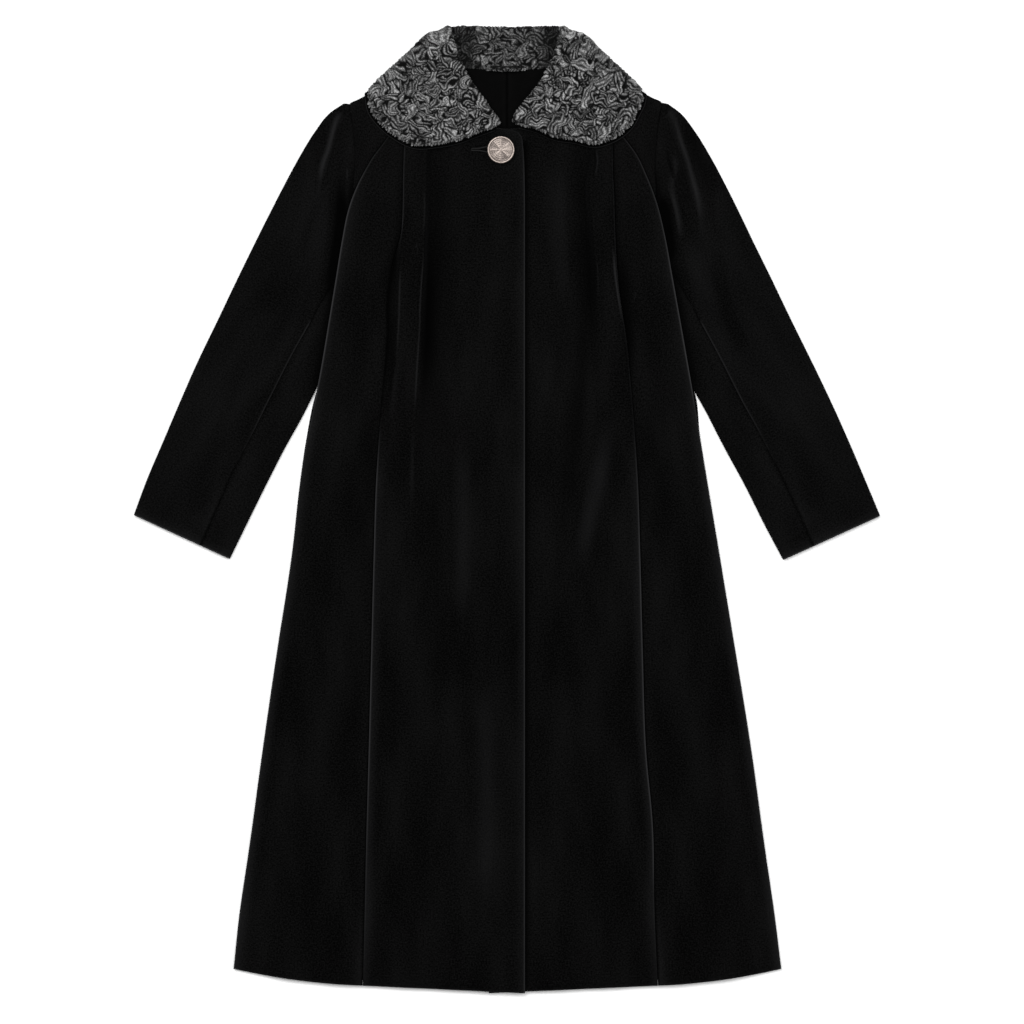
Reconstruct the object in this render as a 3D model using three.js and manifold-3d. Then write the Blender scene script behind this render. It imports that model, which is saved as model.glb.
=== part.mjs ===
// Swing coat, laid flat on its back: black velvet panels, two-piece sleeves and a wide collar of
// curled pile. Millimetres, +X to the wearer's left, +Y to the neck, +Z up from the floor.
// "Out" is the distance from the centre line to either side. "Right" and "left" are the wearer's.

import * as THREE from 'three';
import { mergeVertices } from 'three/addons/utils/BufferGeometryUtils.js';
import Module from 'manifold-3d';

// ---- Driving dimensions -------------------------------------------------------------------

const CLOTH = 2.2; // velvet, its interlining and lining
const PILE = 4.6; // curled pile cloth of the upper collar
const UNDER_CLOTH = 1.6; // under collar
const LINING = 1.0;
const GAP = 0.3; // between pieces at a seam
const REST = 1.0; // under a piece that lies loosely on another

const LOFT = 2.4; // air between front and back away from the outline
const LOFT_REACH = 70;
const LAP_LIFT = CLOTH * 1.1 + GAP; // the right front rides on the left one
const LAP_START = -52;
const LAP_REACH = 28;
const ARMHOLE_LIFT = 4.8; // the body's edge stands on the sleeve
const ARMHOLE_BAND = 14;
const ARMHOLE_REACH = 40;

const NECK_LIFT = PILE + GAP + UNDER_CLOTH + GAP; // the collar's fall lies under the back neck
const NECK_LIFT_LOW = 400;
const NECK_LIFT_HIGH = 470;
const NECK_LIFT_IN = 120;
const NECK_LIFT_OUT = 178;
const STAND_TOP = 2 * (UNDER_CLOTH + PILE) + 4.5 * GAP; // top of the back collar's stand
const STAND_FROM = 500;
const STAND_RISE = 20;
const COLLAR_FOLD = GAP / 2 + UNDER_CLOTH + GAP + PILE / 2; // centre of the roll to the pile's middle
const UNDER_FOLD = GAP / 2 + UNDER_CLOTH / 2;
const UNDER_PEEK = 0.03; // share of the fall that the under collar shows below the pile
const FOLD_BRIDGE = 45; // half width of the collar's swell over a box fold
const STAND_EASE = 22; // how far past the neck seam the fall comes down to the body

const SLEEVE_LOFT = 3.2; // air in the flattened sleeve
const SLEEVE_TUCK = 0.45; // air in the sleeve where the body's edge lies on it
const SLEEVE_EASE = 32;

const BUTTON_RADIUS = 16.2;
const BUTTON_THICKNESS = 4.4;
const BUTTON_RIM = 1.6;
const BUTTON_SHANK = 1.0;
const BUTTON_CLEAR = 2.0;
const BUTTON_AT = { x: -7.2, y: 430 };
const SLOT = { left: -42, right: -4, half: 1.5 };
const WELT = { width: 3.2, height: 1.0, slit: 0.5, part: 1.3 };
const LOOP = { left: -26.5, right: 23, low: 524, high: 531, thickness: 1.6, rise: 2.6 };

// Each side's own tables. Points are [out, y].
const SIDES = {
  right: {
    sign: -1,
    // Armhole edge from the shoulder point, then the side, down to the hem.
    outline: [[188, 486], [185, 466], [182, 445], [181, 427], [181, 410], [184, 386], [191, 356],
      [196, 331], [202, 297], [208, 257], [213, 226], [228, 142], [241, 82], [248, 34], [259, -62],
      [274, -158], [295, -302], [308, -398], [322, -494], [328, -552]],
    // Rows of the fronts, from the neck to the hem: side panel's outer edge, then the princess seam.
    panels: [
      { side: null, seam: [99.5, 524.5] }, { side: null, seam: [107, 505.6] },
      { side: [123, 477.7], seam: [121, 481] }, { side: [135, 458.3], seam: [122.5, 462] },
      { side: [145, 442], seam: [123.2, 448] }, { side: [153, 431.5], seam: [123.6, 434] },
      { side: [161, 421], seam: [124, 420] }, { side: [168.5, 407.3], seam: [124.4, 405] },
      { side: [176, 393.6], seam: [124.8, 388] }, { side: [184, 379], seam: [125, 365] },
      { side: [190, 359], seam: [127, 331] }, { side: [198, 320], seam: [137, 292] },
      { side: [205, 277], seam: [143.5, 255] }, { side: [214, 222], seam: [144, 206] },
      { side: [223, 168], seam: [148, 150] }, { side: [228.5, 139], seam: [153, 95] },
      { side: [244, 60], seam: [157, 35] }, { side: [259, -62], seam: [160, -56] },
      { side: [274, -160], seam: [163, -173] }, { side: [293, -290], seam: [166, -291] },
      { side: [308, -398], seam: [169, -400] }, { side: [320, -483], seam: [171, -490] },
      { side: [328, -552], seam: [173, -572] },
    ],
    yoke: [
      { armhole: [103, 527.5], seam: [99.5, 524.5] }, { armhole: [135, 511.5], seam: [107, 505.6] },
      { armhole: [163, 497.5], seam: [121, 481] }, { armhole: [187.5, 485], seam: [145, 442] },
      { armhole: [184.5, 462], seam: [161, 421] }, { armhole: [181.2, 412], seam: [176, 393.6] },
      { armhole: [182.9, 396], seam: [179.2, 387.8] }, { armhole: [184.2, 384.6], seam: [182, 382.6] },
    ],
    // The unpressed fold beside the princess seam: a box between an outer and an inner edge.
    fold: [
      { y: 447, outer: 118, inner: 98, rise: 0, soft: 9 }, { y: 428, outer: 118, inner: 98, rise: 6, soft: 8 },
      { y: 385, outer: 119, inner: 98, rise: 10, soft: 7 }, { y: 331, outer: 121, inner: 101, rise: 13, soft: 7 },
      { y: 285, outer: 128, inner: 102, rise: 13, soft: 7 }, { y: 230, outer: 131, inner: 104, rise: 11, soft: 8 },
      { y: 170, outer: 133, inner: 110, rise: 8, soft: 12 }, { y: 95, outer: 138, inner: 113, rise: 4, soft: 18 },
      { y: 10, outer: 142, inner: 118, rise: 0, soft: 24 },
    ],
    // Sleeve rows: outer fold, inner fold, and the front and back seams as shares of the width.
    sleeve: [
      { outer: [195.6, 486], inner: [189, 482.5], front: 1, back: 1 },
      { outer: [213.6, 473.4], inner: [184.8, 464], front: 1, back: 1 },
      { outer: [230.4, 451.8], inner: [181.6, 438], front: 1, back: 1 },
      { outer: [250.8, 418.2], inner: [179.4, 398], front: 1, back: 1 },
      { outer: [268.8, 384.6], inner: [181.3, 353], front: 1, back: 1 },
      { outer: [286, 351], inner: [187.5, 311.5], front: 0.965, back: 0.965 },
      { outer: [303, 317], inner: [193.4, 272], front: 0.885, back: 0.78 },
      { outer: [320.4, 281.4], inner: [200.1, 231], front: 0.785, back: 0.66 },
      { outer: [346.8, 226.2], inner: [218.8, 168], front: 0.703, back: 0.55 },
      { outer: [374.4, 168.6], inner: [244.8, 111], front: 0.687, back: 0.47 },
      { outer: [391.2, 130.2], inner: [265.6, 73.5], front: 0.694, back: 0.43 },
      { outer: [411.6, 82.2], inner: [289.4, 27], front: 0.684, back: 0.39 },
      { outer: [432, 34.2], inner: [312.6, -20], front: 0.693, back: 0.36 },
      { outer: [447.6, -7.8], inner: [332.4, -60.6], front: 0.698, back: 0.35 },
    ],
    tucks: [
      { rise: 5, width: 6, line: [[196, 477], [202, 469], [208, 454], [214, 430], [220, 411], [225, 389]] },
    ],
    lobe: [
      { roll: [7, 463], edge: [16, 456], stand: 7 }, { roll: [13, 471], edge: [36, 449], stand: 14 },
      { roll: [20, 481], edge: [58, 441], stand: 24 }, { roll: [27, 491], edge: [84, 436], stand: 33 },
      { roll: [35, 502], edge: [110, 434.5], stand: 40 }, { roll: [43, 514], edge: [134, 446], stand: 44 },
      { roll: [50, 527], edge: [151, 460], stand: 45 }, { roll: [56, 540], edge: [163, 477], stand: 44 },
      { roll: [61, 553], edge: [165.5, 489], stand: 40 }, { roll: [64.5, 568], edge: [165.8, 497], stand: 38 },
      { roll: [66.5, 581.4], edge: [163, 504.6], stand: 36 },
    ],
  },
  left: {
    sign: 1,
    outline: [[185, 486], [181, 466], [178, 445], [176, 423], [177, 394], [178, 372], [185, 349],
      [190, 321], [197, 285], [204, 248], [212, 201], [221, 150], [232, 82], [244, 10], [256, -62],
      [272, -158], [295, -302], [308, -398], [322, -494], [329, -552]],
    panels: [
      { side: null, seam: [99.5, 524.5] }, { side: null, seam: [107, 505] },
      { side: [123, 474.5], seam: [121, 478] }, { side: [132, 459], seam: [124, 460] },
      { side: [140, 445], seam: [126, 446] }, { side: [147, 434.5], seam: [127, 432] },
      { side: [154, 424], seam: [127, 418] }, { side: [159, 413.5], seam: [127, 404] },
      { side: [164, 403], seam: [128, 388] }, { side: [174, 382], seam: [129, 365] },
      { side: [180, 362], seam: [130, 331] }, { side: [189, 328], seam: [132, 292] },
      { side: [198, 280], seam: [135.5, 255] }, { side: [207, 230], seam: [143, 206] },
      { side: [217, 173], seam: [148.5, 150] }, { side: [221.5, 147], seam: [153, 95] },
      { side: [236, 58], seam: [157, 35] }, { side: [256, -62], seam: [160, -56] },
      { side: [272, -160], seam: [163, -173] }, { side: [293, -290], seam: [167, -291] },
      { side: [308, -398], seam: [175, -380] }, { side: [320, -483], seam: [177, -480] },
      { side: [329, -552], seam: [181, -572] },
    ],
    yoke: [
      { armhole: [103, 527.5], seam: [99.5, 524.5] }, { armhole: [135, 511.5], seam: [107, 505] },
      { armhole: [163, 497.5], seam: [121, 478] }, { armhole: [184, 487], seam: [140, 445] },
      { armhole: [180.5, 463], seam: [154, 424] }, { armhole: [176.3, 418], seam: [168, 394.6] },
      { armhole: [177, 391], seam: [174, 382] }, { armhole: [178.2, 376], seam: [176.4, 374] },
    ],
    fold: [
      { y: 449, outer: 121, inner: 106, rise: 0, soft: 9 }, { y: 428, outer: 122, inner: 105, rise: 8, soft: 7 },
      { y: 385, outer: 123, inner: 99, rise: 13, soft: 7 }, { y: 331, outer: 125, inner: 104, rise: 13, soft: 8 },
      { y: 285, outer: 128, inner: 108, rise: 12, soft: 9 }, { y: 231, outer: 134, inner: 110, rise: 11, soft: 12 },
      { y: 195, outer: 138, inner: 114, rise: 9, soft: 15 }, { y: 130, outer: 143, inner: 118, rise: 4, soft: 20 },
      { y: 50, outer: 148, inner: 122, rise: 0, soft: 24 },
    ],
    sleeve: [
      { outer: [193.2, 485.4], inner: [186.5, 482.5], front: 1, back: 1 },
      { outer: [208.8, 473.4], inner: [181, 464], front: 1, back: 1 },
      { outer: [225.6, 451.8], inner: [177.2, 438], front: 1, back: 1 },
      { outer: [246, 418.2], inner: [174.5, 398], front: 1, back: 1 },
      { outer: [262, 388], inner: [175.5, 353], front: 1, back: 1 },
      { outer: [279, 354], inner: [180, 311.5], front: 0.975, back: 0.965 },
      { outer: [296, 318.5], inner: [187.3, 272], front: 0.867, back: 0.78 },
      { outer: [313.5, 283], inner: [194.9, 231], front: 0.771, back: 0.66 },
      { outer: [340.8, 226.2], inner: [211.5, 168], front: 0.687, back: 0.55 },
      { outer: [370, 167], inner: [240.5, 112], front: 0.687, back: 0.47 },
      { outer: [387.6, 130.2], inner: [260, 74], front: 0.675, back: 0.43 },
      { outer: [409.2, 82.2], inner: [285.5, 27], front: 0.677, back: 0.39 },
      { outer: [429.6, 34.2], inner: [309, -20], front: 0.675, back: 0.36 },
      { outer: [447.6, -9], inner: [331.2, -61.8], front: 0.691, back: 0.35 },
    ],
    tucks: [
      { rise: 6, width: 7, line: [[191, 479], [197, 473], [205, 448], [217, 411], [227, 377], [235, 345]] },
      { rise: 5, width: 6, line: [[196, 435], [202, 411], [197, 387], [204, 352], [209, 321]] },
    ],
    lobe: [
      { roll: [6, 464], edge: [15, 459], stand: 7 }, { roll: [9, 473], edge: [36, 454], stand: 14 },
      { roll: [16, 482], edge: [57, 445], stand: 24 }, { roll: [24, 492], edge: [82, 441], stand: 33 },
      { roll: [32, 502], edge: [106, 436], stand: 40 }, { roll: [40, 513], edge: [128, 443], stand: 44 },
      { roll: [47, 526], edge: [146, 457], stand: 45 }, { roll: [53, 539], edge: [156, 474], stand: 44 },
      { roll: [58, 552], edge: [162, 488], stand: 40 }, { roll: [61, 566], edge: [162.5, 496], stand: 38 },
      { roll: [63.5, 581], edge: [160, 504], stand: 36 },
    ],
  },
};

// Neckline and front edge, row by row with the panels above. The same on both fronts.
const FRONT_EDGE = [[96.8, 524], [91, 502], [80, 484.5], [52, 464.5], [12, 455.5], [-17, 447],
  [-19.5, 433], [-20.6, 417], [-21.2, 395], [-21.6, 368], [-21.6, 331], [-21.6, 292], [-21.6, 255],
  [-21.6, 206], [-21.6, 150], [-21.6, 95], [-21.6, 35], [-21.6, -56], [-21.6, -173], [-21.6, -291],
  [-21.6, -400], [-21.6, -490], [-21.6, -581]];
const FIRST_SIDE_ROW = 2;
const HEM_BOW = 3.5;
const HEM_BOW_FROM = -490;

// Soft flares that widen to the hem on both fronts.
const FLARES = [
  { top: 40, bottom: 62, half: 26, rise: 2.2 }, { top: 90, bottom: 122, half: 24, rise: 1.8 },
  { top: 172, bottom: 205, half: 26, rise: 2.0 }, { top: 205, bottom: 262, half: 24, rise: 2.2 },
];
const FLARE_TOP = 150;
const FLARE_BOTTOM = -560;

// The back neck's collar, from the middle outwards: neck seam, roll line and the fall's edge.
const BACK_COLLAR = [
  { neck: [0, 525.1], roll: [0, 577.5], edge: [0, 480] },
  { neck: [26, 526.6], roll: [23, 578], edge: [36, 480] },
  { neck: [52, 528.1], roll: [45, 578.5], edge: [72, 483] },
  { neck: [70, 529.2], roll: [57, 576], edge: [102, 492] },
  { neck: [82, 530.2], roll: [62, 570], edge: [117, 508] },
];

// Rows of the back panels: heights on the centre back seam and on a line over the shoulder blade.
const BACK_ROWS = [
  { centre: 524.4, blade: 530 }, { centre: 510, blade: 516 }, { centre: 496, blade: 501 },
  { centre: 482, blade: 485 }, { centre: 469, blade: 471 }, { centre: 456, blade: 456 },
  { centre: 442, blade: 441 }, { centre: 426, blade: 424 }, { centre: 408, blade: 406 },
  { centre: 360, blade: 360 }, { centre: 312, blade: 312 }, { centre: 272, blade: 272 },
  { centre: 231, blade: 231 }, { centre: 168, blade: 168 }, { centre: 141, blade: 141 },
];
const BACK_LOWER = [[60, 60], [-62, -62], [-158, -158], [-302, -302], [-398, -398], [-490, -490], [-579, -568]];
const BLADE_NECK = 97;
const BLADE_HEM = 150;
const LINING_ROWS = [82, 84, 80, 66, 30];

const COLOURS = {
  velvet: 0x0d0d0d, pile: 0x4c4c4e, underCollar: 0x0b0b0b, lining: 0x080808, button: 0x9d958f, welt: 0x0e0e0e,
};

// ---- Small helpers --------------------------------------------------------------------------

const lerp = (a, b, t) => a + (b - a) * t;
const clamp01 = (t) => Math.min(1, Math.max(0, t));
const smooth = (t) => { const c = clamp01(t); return c * c * (3 - 2 * c); };
const mix2 = (a, b, t) => [lerp(a[0], b[0], t), lerp(a[1], b[1], t)];
const range = (count) => Array.from({ length: count + 1 }, (_, i) => i / count);

// Reads a table of rows by a falling key, straight between its rows.
function readTable(rows, key, at, columns) {
  const last = rows.length - 1;
  const found = rows.findIndex((row) => row[key] <= at);
  const next = found < 0 ? last : found;
  const low = rows[next];
  const high = rows[Math.max(0, next - 1)];
  const span = high[key] - low[key];
  const t = span > 0 ? clamp01((high[key] - at) / span) : 0;
  return Object.fromEntries(columns.map((column) => [column, lerp(high[column], low[column], t)]));
}

// Reads a table of rows by a fractional index; numbers and points are mixed alike.
function readRow(rows, position) {
  const index = Math.min(rows.length - 2, Math.floor(position));
  const t = position - index;
  const mixed = {};
  for (const [name, value] of Object.entries(rows[index])) {
    const after = rows[index + 1][name];
    mixed[name] = Array.isArray(value) ? mix2(value, after, t) : lerp(value, after, t);
  }
  return mixed;
}

// How far out a line of [out, y] points lies at a height y.
function outAt(line, y) {
  const next = line.findIndex((point) => point[1] <= y);
  if (next === 0) return line[0][0];
  if (next < 0) return line[line.length - 1][0];
  const [high, low] = [line[next - 1], line[next]];
  return lerp(high[0], low[0], (high[1] - y) / (high[1] - low[1]));
}

// Distance from a point to a line of points, and how far along the line it falls, from 0 to 1.
function nearLine(point, line) {
  let best = { distance: Infinity, along: 0 };
  for (let i = 0; i < line.length - 1; i += 1) {
    const [a, b] = [line[i], line[i + 1]];
    const [dx, dy] = [b[0] - a[0], b[1] - a[1]];
    const t = clamp01(((point[0] - a[0]) * dx + (point[1] - a[1]) * dy) / (dx * dx + dy * dy));
    const distance = Math.hypot(point[0] - a[0] - dx * t, point[1] - a[1] - dy * t);
    if (distance < best.distance) best = { distance, along: (i + t) / (line.length - 1) };
  }
  return best;
}

// A closed wall between two grids of points. pairAt(u, v) gives an outer and an inner point.
function wall(us, vs, pairAt) {
  const pairs = us.map((u) => vs.map((v) => pairAt(u, v)));
  const layer = us.length * vs.length;
  const positions = [];
  for (const face of ['outer', 'inner']) {
    for (const row of pairs) for (const pair of row) positions.push(...pair[face]);
  }
  const at = (inner, i, j) => inner * layer + i * vs.length + j;
  const triangles = [];
  const quad = (a, b, c, d) => triangles.push(a, b, c, a, c, d);
  const [lastU, lastV] = [us.length - 1, vs.length - 1];
  for (let i = 0; i < lastU; i += 1) {
    for (let j = 0; j < lastV; j += 1) {
      quad(at(0, i, j), at(0, i + 1, j), at(0, i + 1, j + 1), at(0, i, j + 1));
      quad(at(1, i, j), at(1, i, j + 1), at(1, i + 1, j + 1), at(1, i + 1, j));
    }
    quad(at(0, i, 0), at(1, i, 0), at(1, i + 1, 0), at(0, i + 1, 0));
    quad(at(0, i + 1, lastV), at(1, i + 1, lastV), at(1, i, lastV), at(0, i, lastV));
  }
  for (let j = 0; j < lastV; j += 1) {
    quad(at(0, 0, j + 1), at(1, 0, j + 1), at(1, 0, j), at(0, 0, j));
    quad(at(0, lastU, j), at(1, lastU, j), at(1, lastU, j + 1), at(0, lastU, j + 1));
  }
  return facingOut(positions, triangles);
}

// Turns a closed mesh the right way round, by the sign of its volume.
function facingOut(positions, triangles) {
  const corner = (k) => new THREE.Vector3().fromArray(positions, triangles[k] * 3);
  let volume = 0;
  for (let k = 0; k < triangles.length; k += 3) volume += corner(k).dot(corner(k + 1).cross(corner(k + 2)));
  const ordered = volume > 0 ? triangles : triangles.slice().reverse();
  const geometry = new THREE.BufferGeometry();
  geometry.setAttribute('position', new THREE.Float32BufferAttribute(positions, 3));
  geometry.setIndex(ordered);
  return geometry;
}

// ---- Heights of the laid coat -----------------------------------------------------------------

// How far the collar's hidden fall lifts the back neck off the floor.
function neckLift(x, y) {
  const across = smooth((NECK_LIFT_OUT - Math.abs(x)) / (NECK_LIFT_OUT - NECK_LIFT_IN));
  const along = smooth((y - NECK_LIFT_LOW) / (NECK_LIFT_HIGH - NECK_LIFT_LOW));
  return NECK_LIFT * across * along;
}

// The box fold: up from the princess seam to its outer edge, flat, then down past its inner edge.
function foldRise(side, out, y) {
  const seam = outAt(side.panels.map((row) => row.seam), y);
  const { outer, inner, rise, soft } = readTable(side.fold, 'y', y, ['outer', 'inner', 'rise', 'soft']);
  if (y > side.fold[0].y || y < side.fold[side.fold.length - 1].y) return 0;
  return rise * smooth((seam - out) / (seam - outer)) * smooth((out - inner + soft) / soft);
}

function flareRise(out, y) {
  const down = clamp01((FLARE_TOP - y) / (FLARE_TOP - FLARE_BOTTOM));
  let rise = 0;
  for (const flare of FLARES) {
    const away = (out - lerp(flare.top, flare.bottom, down)) / flare.half;
    rise += flare.rise * smooth(down * 2) * Math.exp(-away * away);
  }
  return rise;
}

// The underside of the fronts, apart from the right front's lap.
function frontUnder(x, y) {
  const side = x < 0 ? SIDES.right : SIDES.left;
  const out = Math.abs(x);
  const inside = outAt(side.outline, y) - out;
  const lift = ARMHOLE_LIFT * lerp(1, 0.72, smooth((y - 400) / 60)) * smooth((y - 105) / 45);
  const armhole = lift * (1 - smooth((inside - ARMHOLE_BAND) / ARMHOLE_REACH));
  const loft = LOFT * smooth(inside / LOFT_REACH);
  return neckLift(x, y) + CLOTH + GAP + loft + armhole + foldRise(side, out, y) + flareRise(out, y);
}

const lapRise = (x) => LAP_LIFT * smooth((x - LAP_START) / LAP_REACH);

// Vertical thickness of a cloth on a slope.
function standing(under, x, y, thickness) {
  const step = 0.5;
  const slopeX = (under(x + step, y) - under(x - step, y)) / (2 * step);
  const slopeY = (under(x, y + step) - under(x, y - step)) / (2 * step);
  return thickness * Math.min(1.6, Math.hypot(1, slopeX, slopeY));
}

// The top of the body wherever the collar or the button lies on it.
function bodyTop(x, y) {
  const edge = -outAt(FRONT_EDGE, y);
  const lap = lapRise(x) * (1 - smooth((x - edge) / 14));
  return frontUnder(x, y) + standing(frontUnder, x, y, CLOTH) + lap;
}

// The collar bridges the box fold in one wide swell.
function collarRest(x, y) {
  const side = x < 0 ? SIDES.right : SIDES.left;
  const out = Math.abs(x);
  const { outer, inner, rise } = readTable(side.fold, 'y', y, ['outer', 'inner', 'rise']);
  const away = (out - (outer + inner) / 2) / FOLD_BRIDGE;
  const swell = y > side.fold[0].y ? 0 : rise * 1.15 * Math.exp(-away * away);
  const under = (px, py) => frontUnder(px, py) - foldRise(px < 0 ? SIDES.right : SIDES.left, Math.abs(px), py);
  const edge = -outAt(FRONT_EDGE, y);
  const lap = lapRise(x) * (1 - smooth((x - edge) / 14));
  return under(x, y) + standing(under, x, y, CLOTH) + lap + swell + REST;
}

// The floor of the neck opening: the lining, and further up the inside of the back collar's stand.
function neckFloor(x, y) {
  const lining = neckLift(x, y) + CLOTH + GAP + LINING + REST;
  return lerp(lining, STAND_TOP, smooth((y - STAND_FROM) / STAND_RISE));
}

// ---- Flat panels ----------------------------------------------------------------------------

// A cloth panel between lines of points, lying at the height under(x, y).
function panel(rows, columns, under, thickness) {
  const pair = (i, j) => {
    const [x, y] = columns(rows[i], i)[j];
    const low = under(x, y);
    return { outer: [x, y, low + standing(under, x, y, thickness)], inner: [x, y, low] };
  };
  const count = columns(rows[0], 0).length;
  return wall([...rows.keys()], [...Array(count).keys()], pair);
}

// Points of one front row: dense over the box fold, then even steps to the front edge.
function frontRow(side, row, index) {
  const [seamOut, seamY] = row.seam;
  const [edgeOut, edgeY] = FRONT_EDGE[index];
  const y = lerp(seamY, edgeY, 0.2);
  const { outer, inner, soft } = readTable(side.fold, 'y', y, ['outer', 'inner', 'soft']);
  const foldOuts = [(seamOut + outer) / 2, outer, lerp(outer, inner, 0.35), lerp(outer, inner, 0.75),
    inner, inner - soft / 2, inner - soft, inner - soft - 12];
  const width = seamOut - edgeOut;
  const shares = foldOuts.map((out) => clamp01((seamOut - out) / width));
  const fits = seamOut - edgeOut > 90;
  const spread = fits ? shares : shares.map((_, k) => ((k + 1) / shares.length) * 0.45);
  const rest = range(6).slice(1).map((t) => lerp(spread[spread.length - 1], 1, t));
  const start = GAP * 0.6 / width;
  return [start, ...spread, ...rest].map((t) => {
    const [out, at] = mix2([seamOut, seamY], [edgeOut, edgeY], t);
    return [side.sign * out, at];
  });
}

function frontPanel(side) {
  const under = side.sign < 0 ? (x, y) => frontUnder(x, y) + lapRise(x) : frontUnder;
  return panel(side.panels, (row, index) => frontRow(side, row, index), under, CLOTH);
}

function sidePanel(side) {
  const rows = side.panels.slice(FIRST_SIDE_ROW);
  const columns = (row) => range(8).map((t) => {
    const seam = [row.seam[0] + GAP * 0.6, row.seam[1]];
    const [out, y] = mix2(seam, row.side, t);
    const bow = HEM_BOW * 4 * t * (1 - t) * smooth((HEM_BOW_FROM - y) / 60);
    return [side.sign * out, y - bow];
  });
  return panel(rows, columns, frontUnder, CLOTH);
}

function yokePanel(side) {
  const columns = (row) => range(5).map((t) => {
    const seam = [row.seam[0] + GAP * 1.8, row.seam[1]];
    const [out, y] = mix2(seam, row.armhole, t);
    return [side.sign * out, y];
  });
  return panel(side.yoke, columns, frontUnder, CLOTH);
}

// Rows of a back panel: centre seam, shoulder blade and the armhole or side edge.
function backRows(side) {
  const edge = [...side.sleeve.slice(0, 9).map(({ inner }) => [inner[0] - 0.5, inner[1]]),
    ...side.outline.filter((point) => point[1] < 160)];
  const armhole = [482.5, 473, 464, 455, 446.5, 438, 424, 411, 398, 353, 311.5, 272, 231, 168, 142];
  const upper = BACK_ROWS.map((row, index) => ({ ...row, edge: armhole[index] }));
  const lower = BACK_LOWER.map(([centre, blade], index) => {
    const last = index === BACK_LOWER.length - 1;
    return { centre, blade, edge: last ? -551 : blade };
  });
  return [...upper, ...lower].map((row, index, all) => ({
    centre: [GAP / 2, row.centre],
    blade: [lerp(BLADE_NECK, BLADE_HEM, index / (all.length - 1)), row.blade],
    edge: [outAt(edge, row.edge), row.edge],
  }));
}

function backPanel(side) {
  const columns = (row) => [
    ...range(3).map((t) => mix2(row.centre, row.blade, t)),
    ...range(3).slice(1).map((t) => mix2(row.blade, row.edge, t)),
  ].map(([out, y]) => [side.sign * out, y]);
  return panel(backRows(side), columns, neckLift, CLOTH);
}

// The lining inside the neck, on the back panels' own rows, moved up.
function backLining() {
  const rows = backRows(SIDES.left).slice(0, LINING_ROWS.length);
  const columns = (row, index) => range(8).map((t) => {
    const share = 2 * t - 1;
    const out = Math.abs(share) * LINING_ROWS[index];
    const y = lerp(row.centre[1], row.blade[1], out / row.blade[0]);
    return [Math.sign(share) * out, y];
  });
  return panel(rows, columns, (x, y) => neckLift(x, y) + CLOTH + GAP, LINING);
}

// ---- Sleeves --------------------------------------------------------------------------------

// Height of the sleeve's tucks at a point.
function tuckRise(side, point) {
  let rise = 0;
  for (const tuck of side.tucks) {
    const { distance, along } = nearLine(point, tuck.line);
    const fade = Math.sin(Math.PI * clamp01(0.12 + along * 0.88));
    rise += tuck.rise * Math.max(0, fade) * Math.exp(-((distance / tuck.width) ** 2));
  }
  return rise;
}

// Air between the sleeve's two layers, at a share of the width counted from the outer fold.
function sleeveAir(side, row, position, share) {
  const width = Math.hypot(row.inner[0] - row.outer[0], row.inner[1] - row.outer[1]);
  const fromInner = (1 - share) * width;
  const tucked = lerp(SLEEVE_TUCK, SLEEVE_LOFT, smooth((position - 8) / 1.5));
  const open = lerp(1.2, SLEEVE_LOFT, smooth(position / 3));
  const ease = smooth(fromInner / SLEEVE_EASE);
  return lerp(tucked, open, ease) + ease * tuckRise(side, mix2(row.outer, row.inner, share));
}

// One piece of a sleeve: from its front seam on top, round a fold, to its back seam below.
function sleevePiece(side, atOuterFold, positions, topSteps, bottomSteps) {
  const foldShare = atOuterFold ? 0 : 1;
  const arc = [0.25, 0.5, 0.75];
  const stations = [...range(topSteps), ...arc.map((a) => 1 + a), ...range(bottomSteps).map((b) => 2 + b)];
  const pair = (position, station) => {
    const row = readRow(side.sleeve, position);
    const width = Math.hypot(row.inner[0] - row.outer[0], row.inner[1] - row.outer[1]);
    const seamGap = (GAP * 0.5) / width;
    const seamShare = (share) => (share > 0.99 ? 1 : share - Math.sign(share - foldShare) * seamGap);
    const air = sleeveAir(side, row, position, foldShare);
    const radius = (CLOTH + air) / 2;
    const inset = (radius + CLOTH / 2) / width;
    const foldAt = atOuterFold ? inset : 1 - inset;
    const outward = atOuterFold ? -1 : 1;
    let share = foldAt;
    let height = CLOTH / 2;
    let normal = [0, 1];
    if (station <= 1) {
      share = lerp(seamShare(row.front), foldAt, station);
      height = CLOTH * 1.5 + sleeveAir(side, row, position, station === 1 ? foldShare : share);
    } else if (station < 2) {
      const angle = (station - 1) * Math.PI;
      normal = [outward * Math.sin(angle), Math.cos(angle)];
      share = foldAt + (normal[0] * radius) / width;
      height = CLOTH / 2 + radius + normal[1] * radius;
    } else {
      share = lerp(foldAt, seamShare(row.back), station - 2);
      normal = [0, -1];
    }
    const put = (offset) => {
      const [out, y] = mix2(row.outer, row.inner, share + (normal[0] * offset) / width);
      return [side.sign * out, y, height + normal[1] * offset];
    };
    return { outer: put(CLOTH / 2), inner: put(-CLOTH / 2) };
  };
  return wall(positions, stations, pair);
}

const sleevePositions = (from, to, steps) => range(steps).map((t) => lerp(from, to, t));

// ---- Collar ---------------------------------------------------------------------------------

// Stations along a collar section: up the stand, round the roll, out over the fall, to its edge at 3.
function collarStations(fallSteps) {
  return [...range(2), ...[0.2, 0.4, 0.6, 0.8].map((a) => 1 + a), ...range(fallSteps).map((f) => 2 + f)];
}

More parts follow.
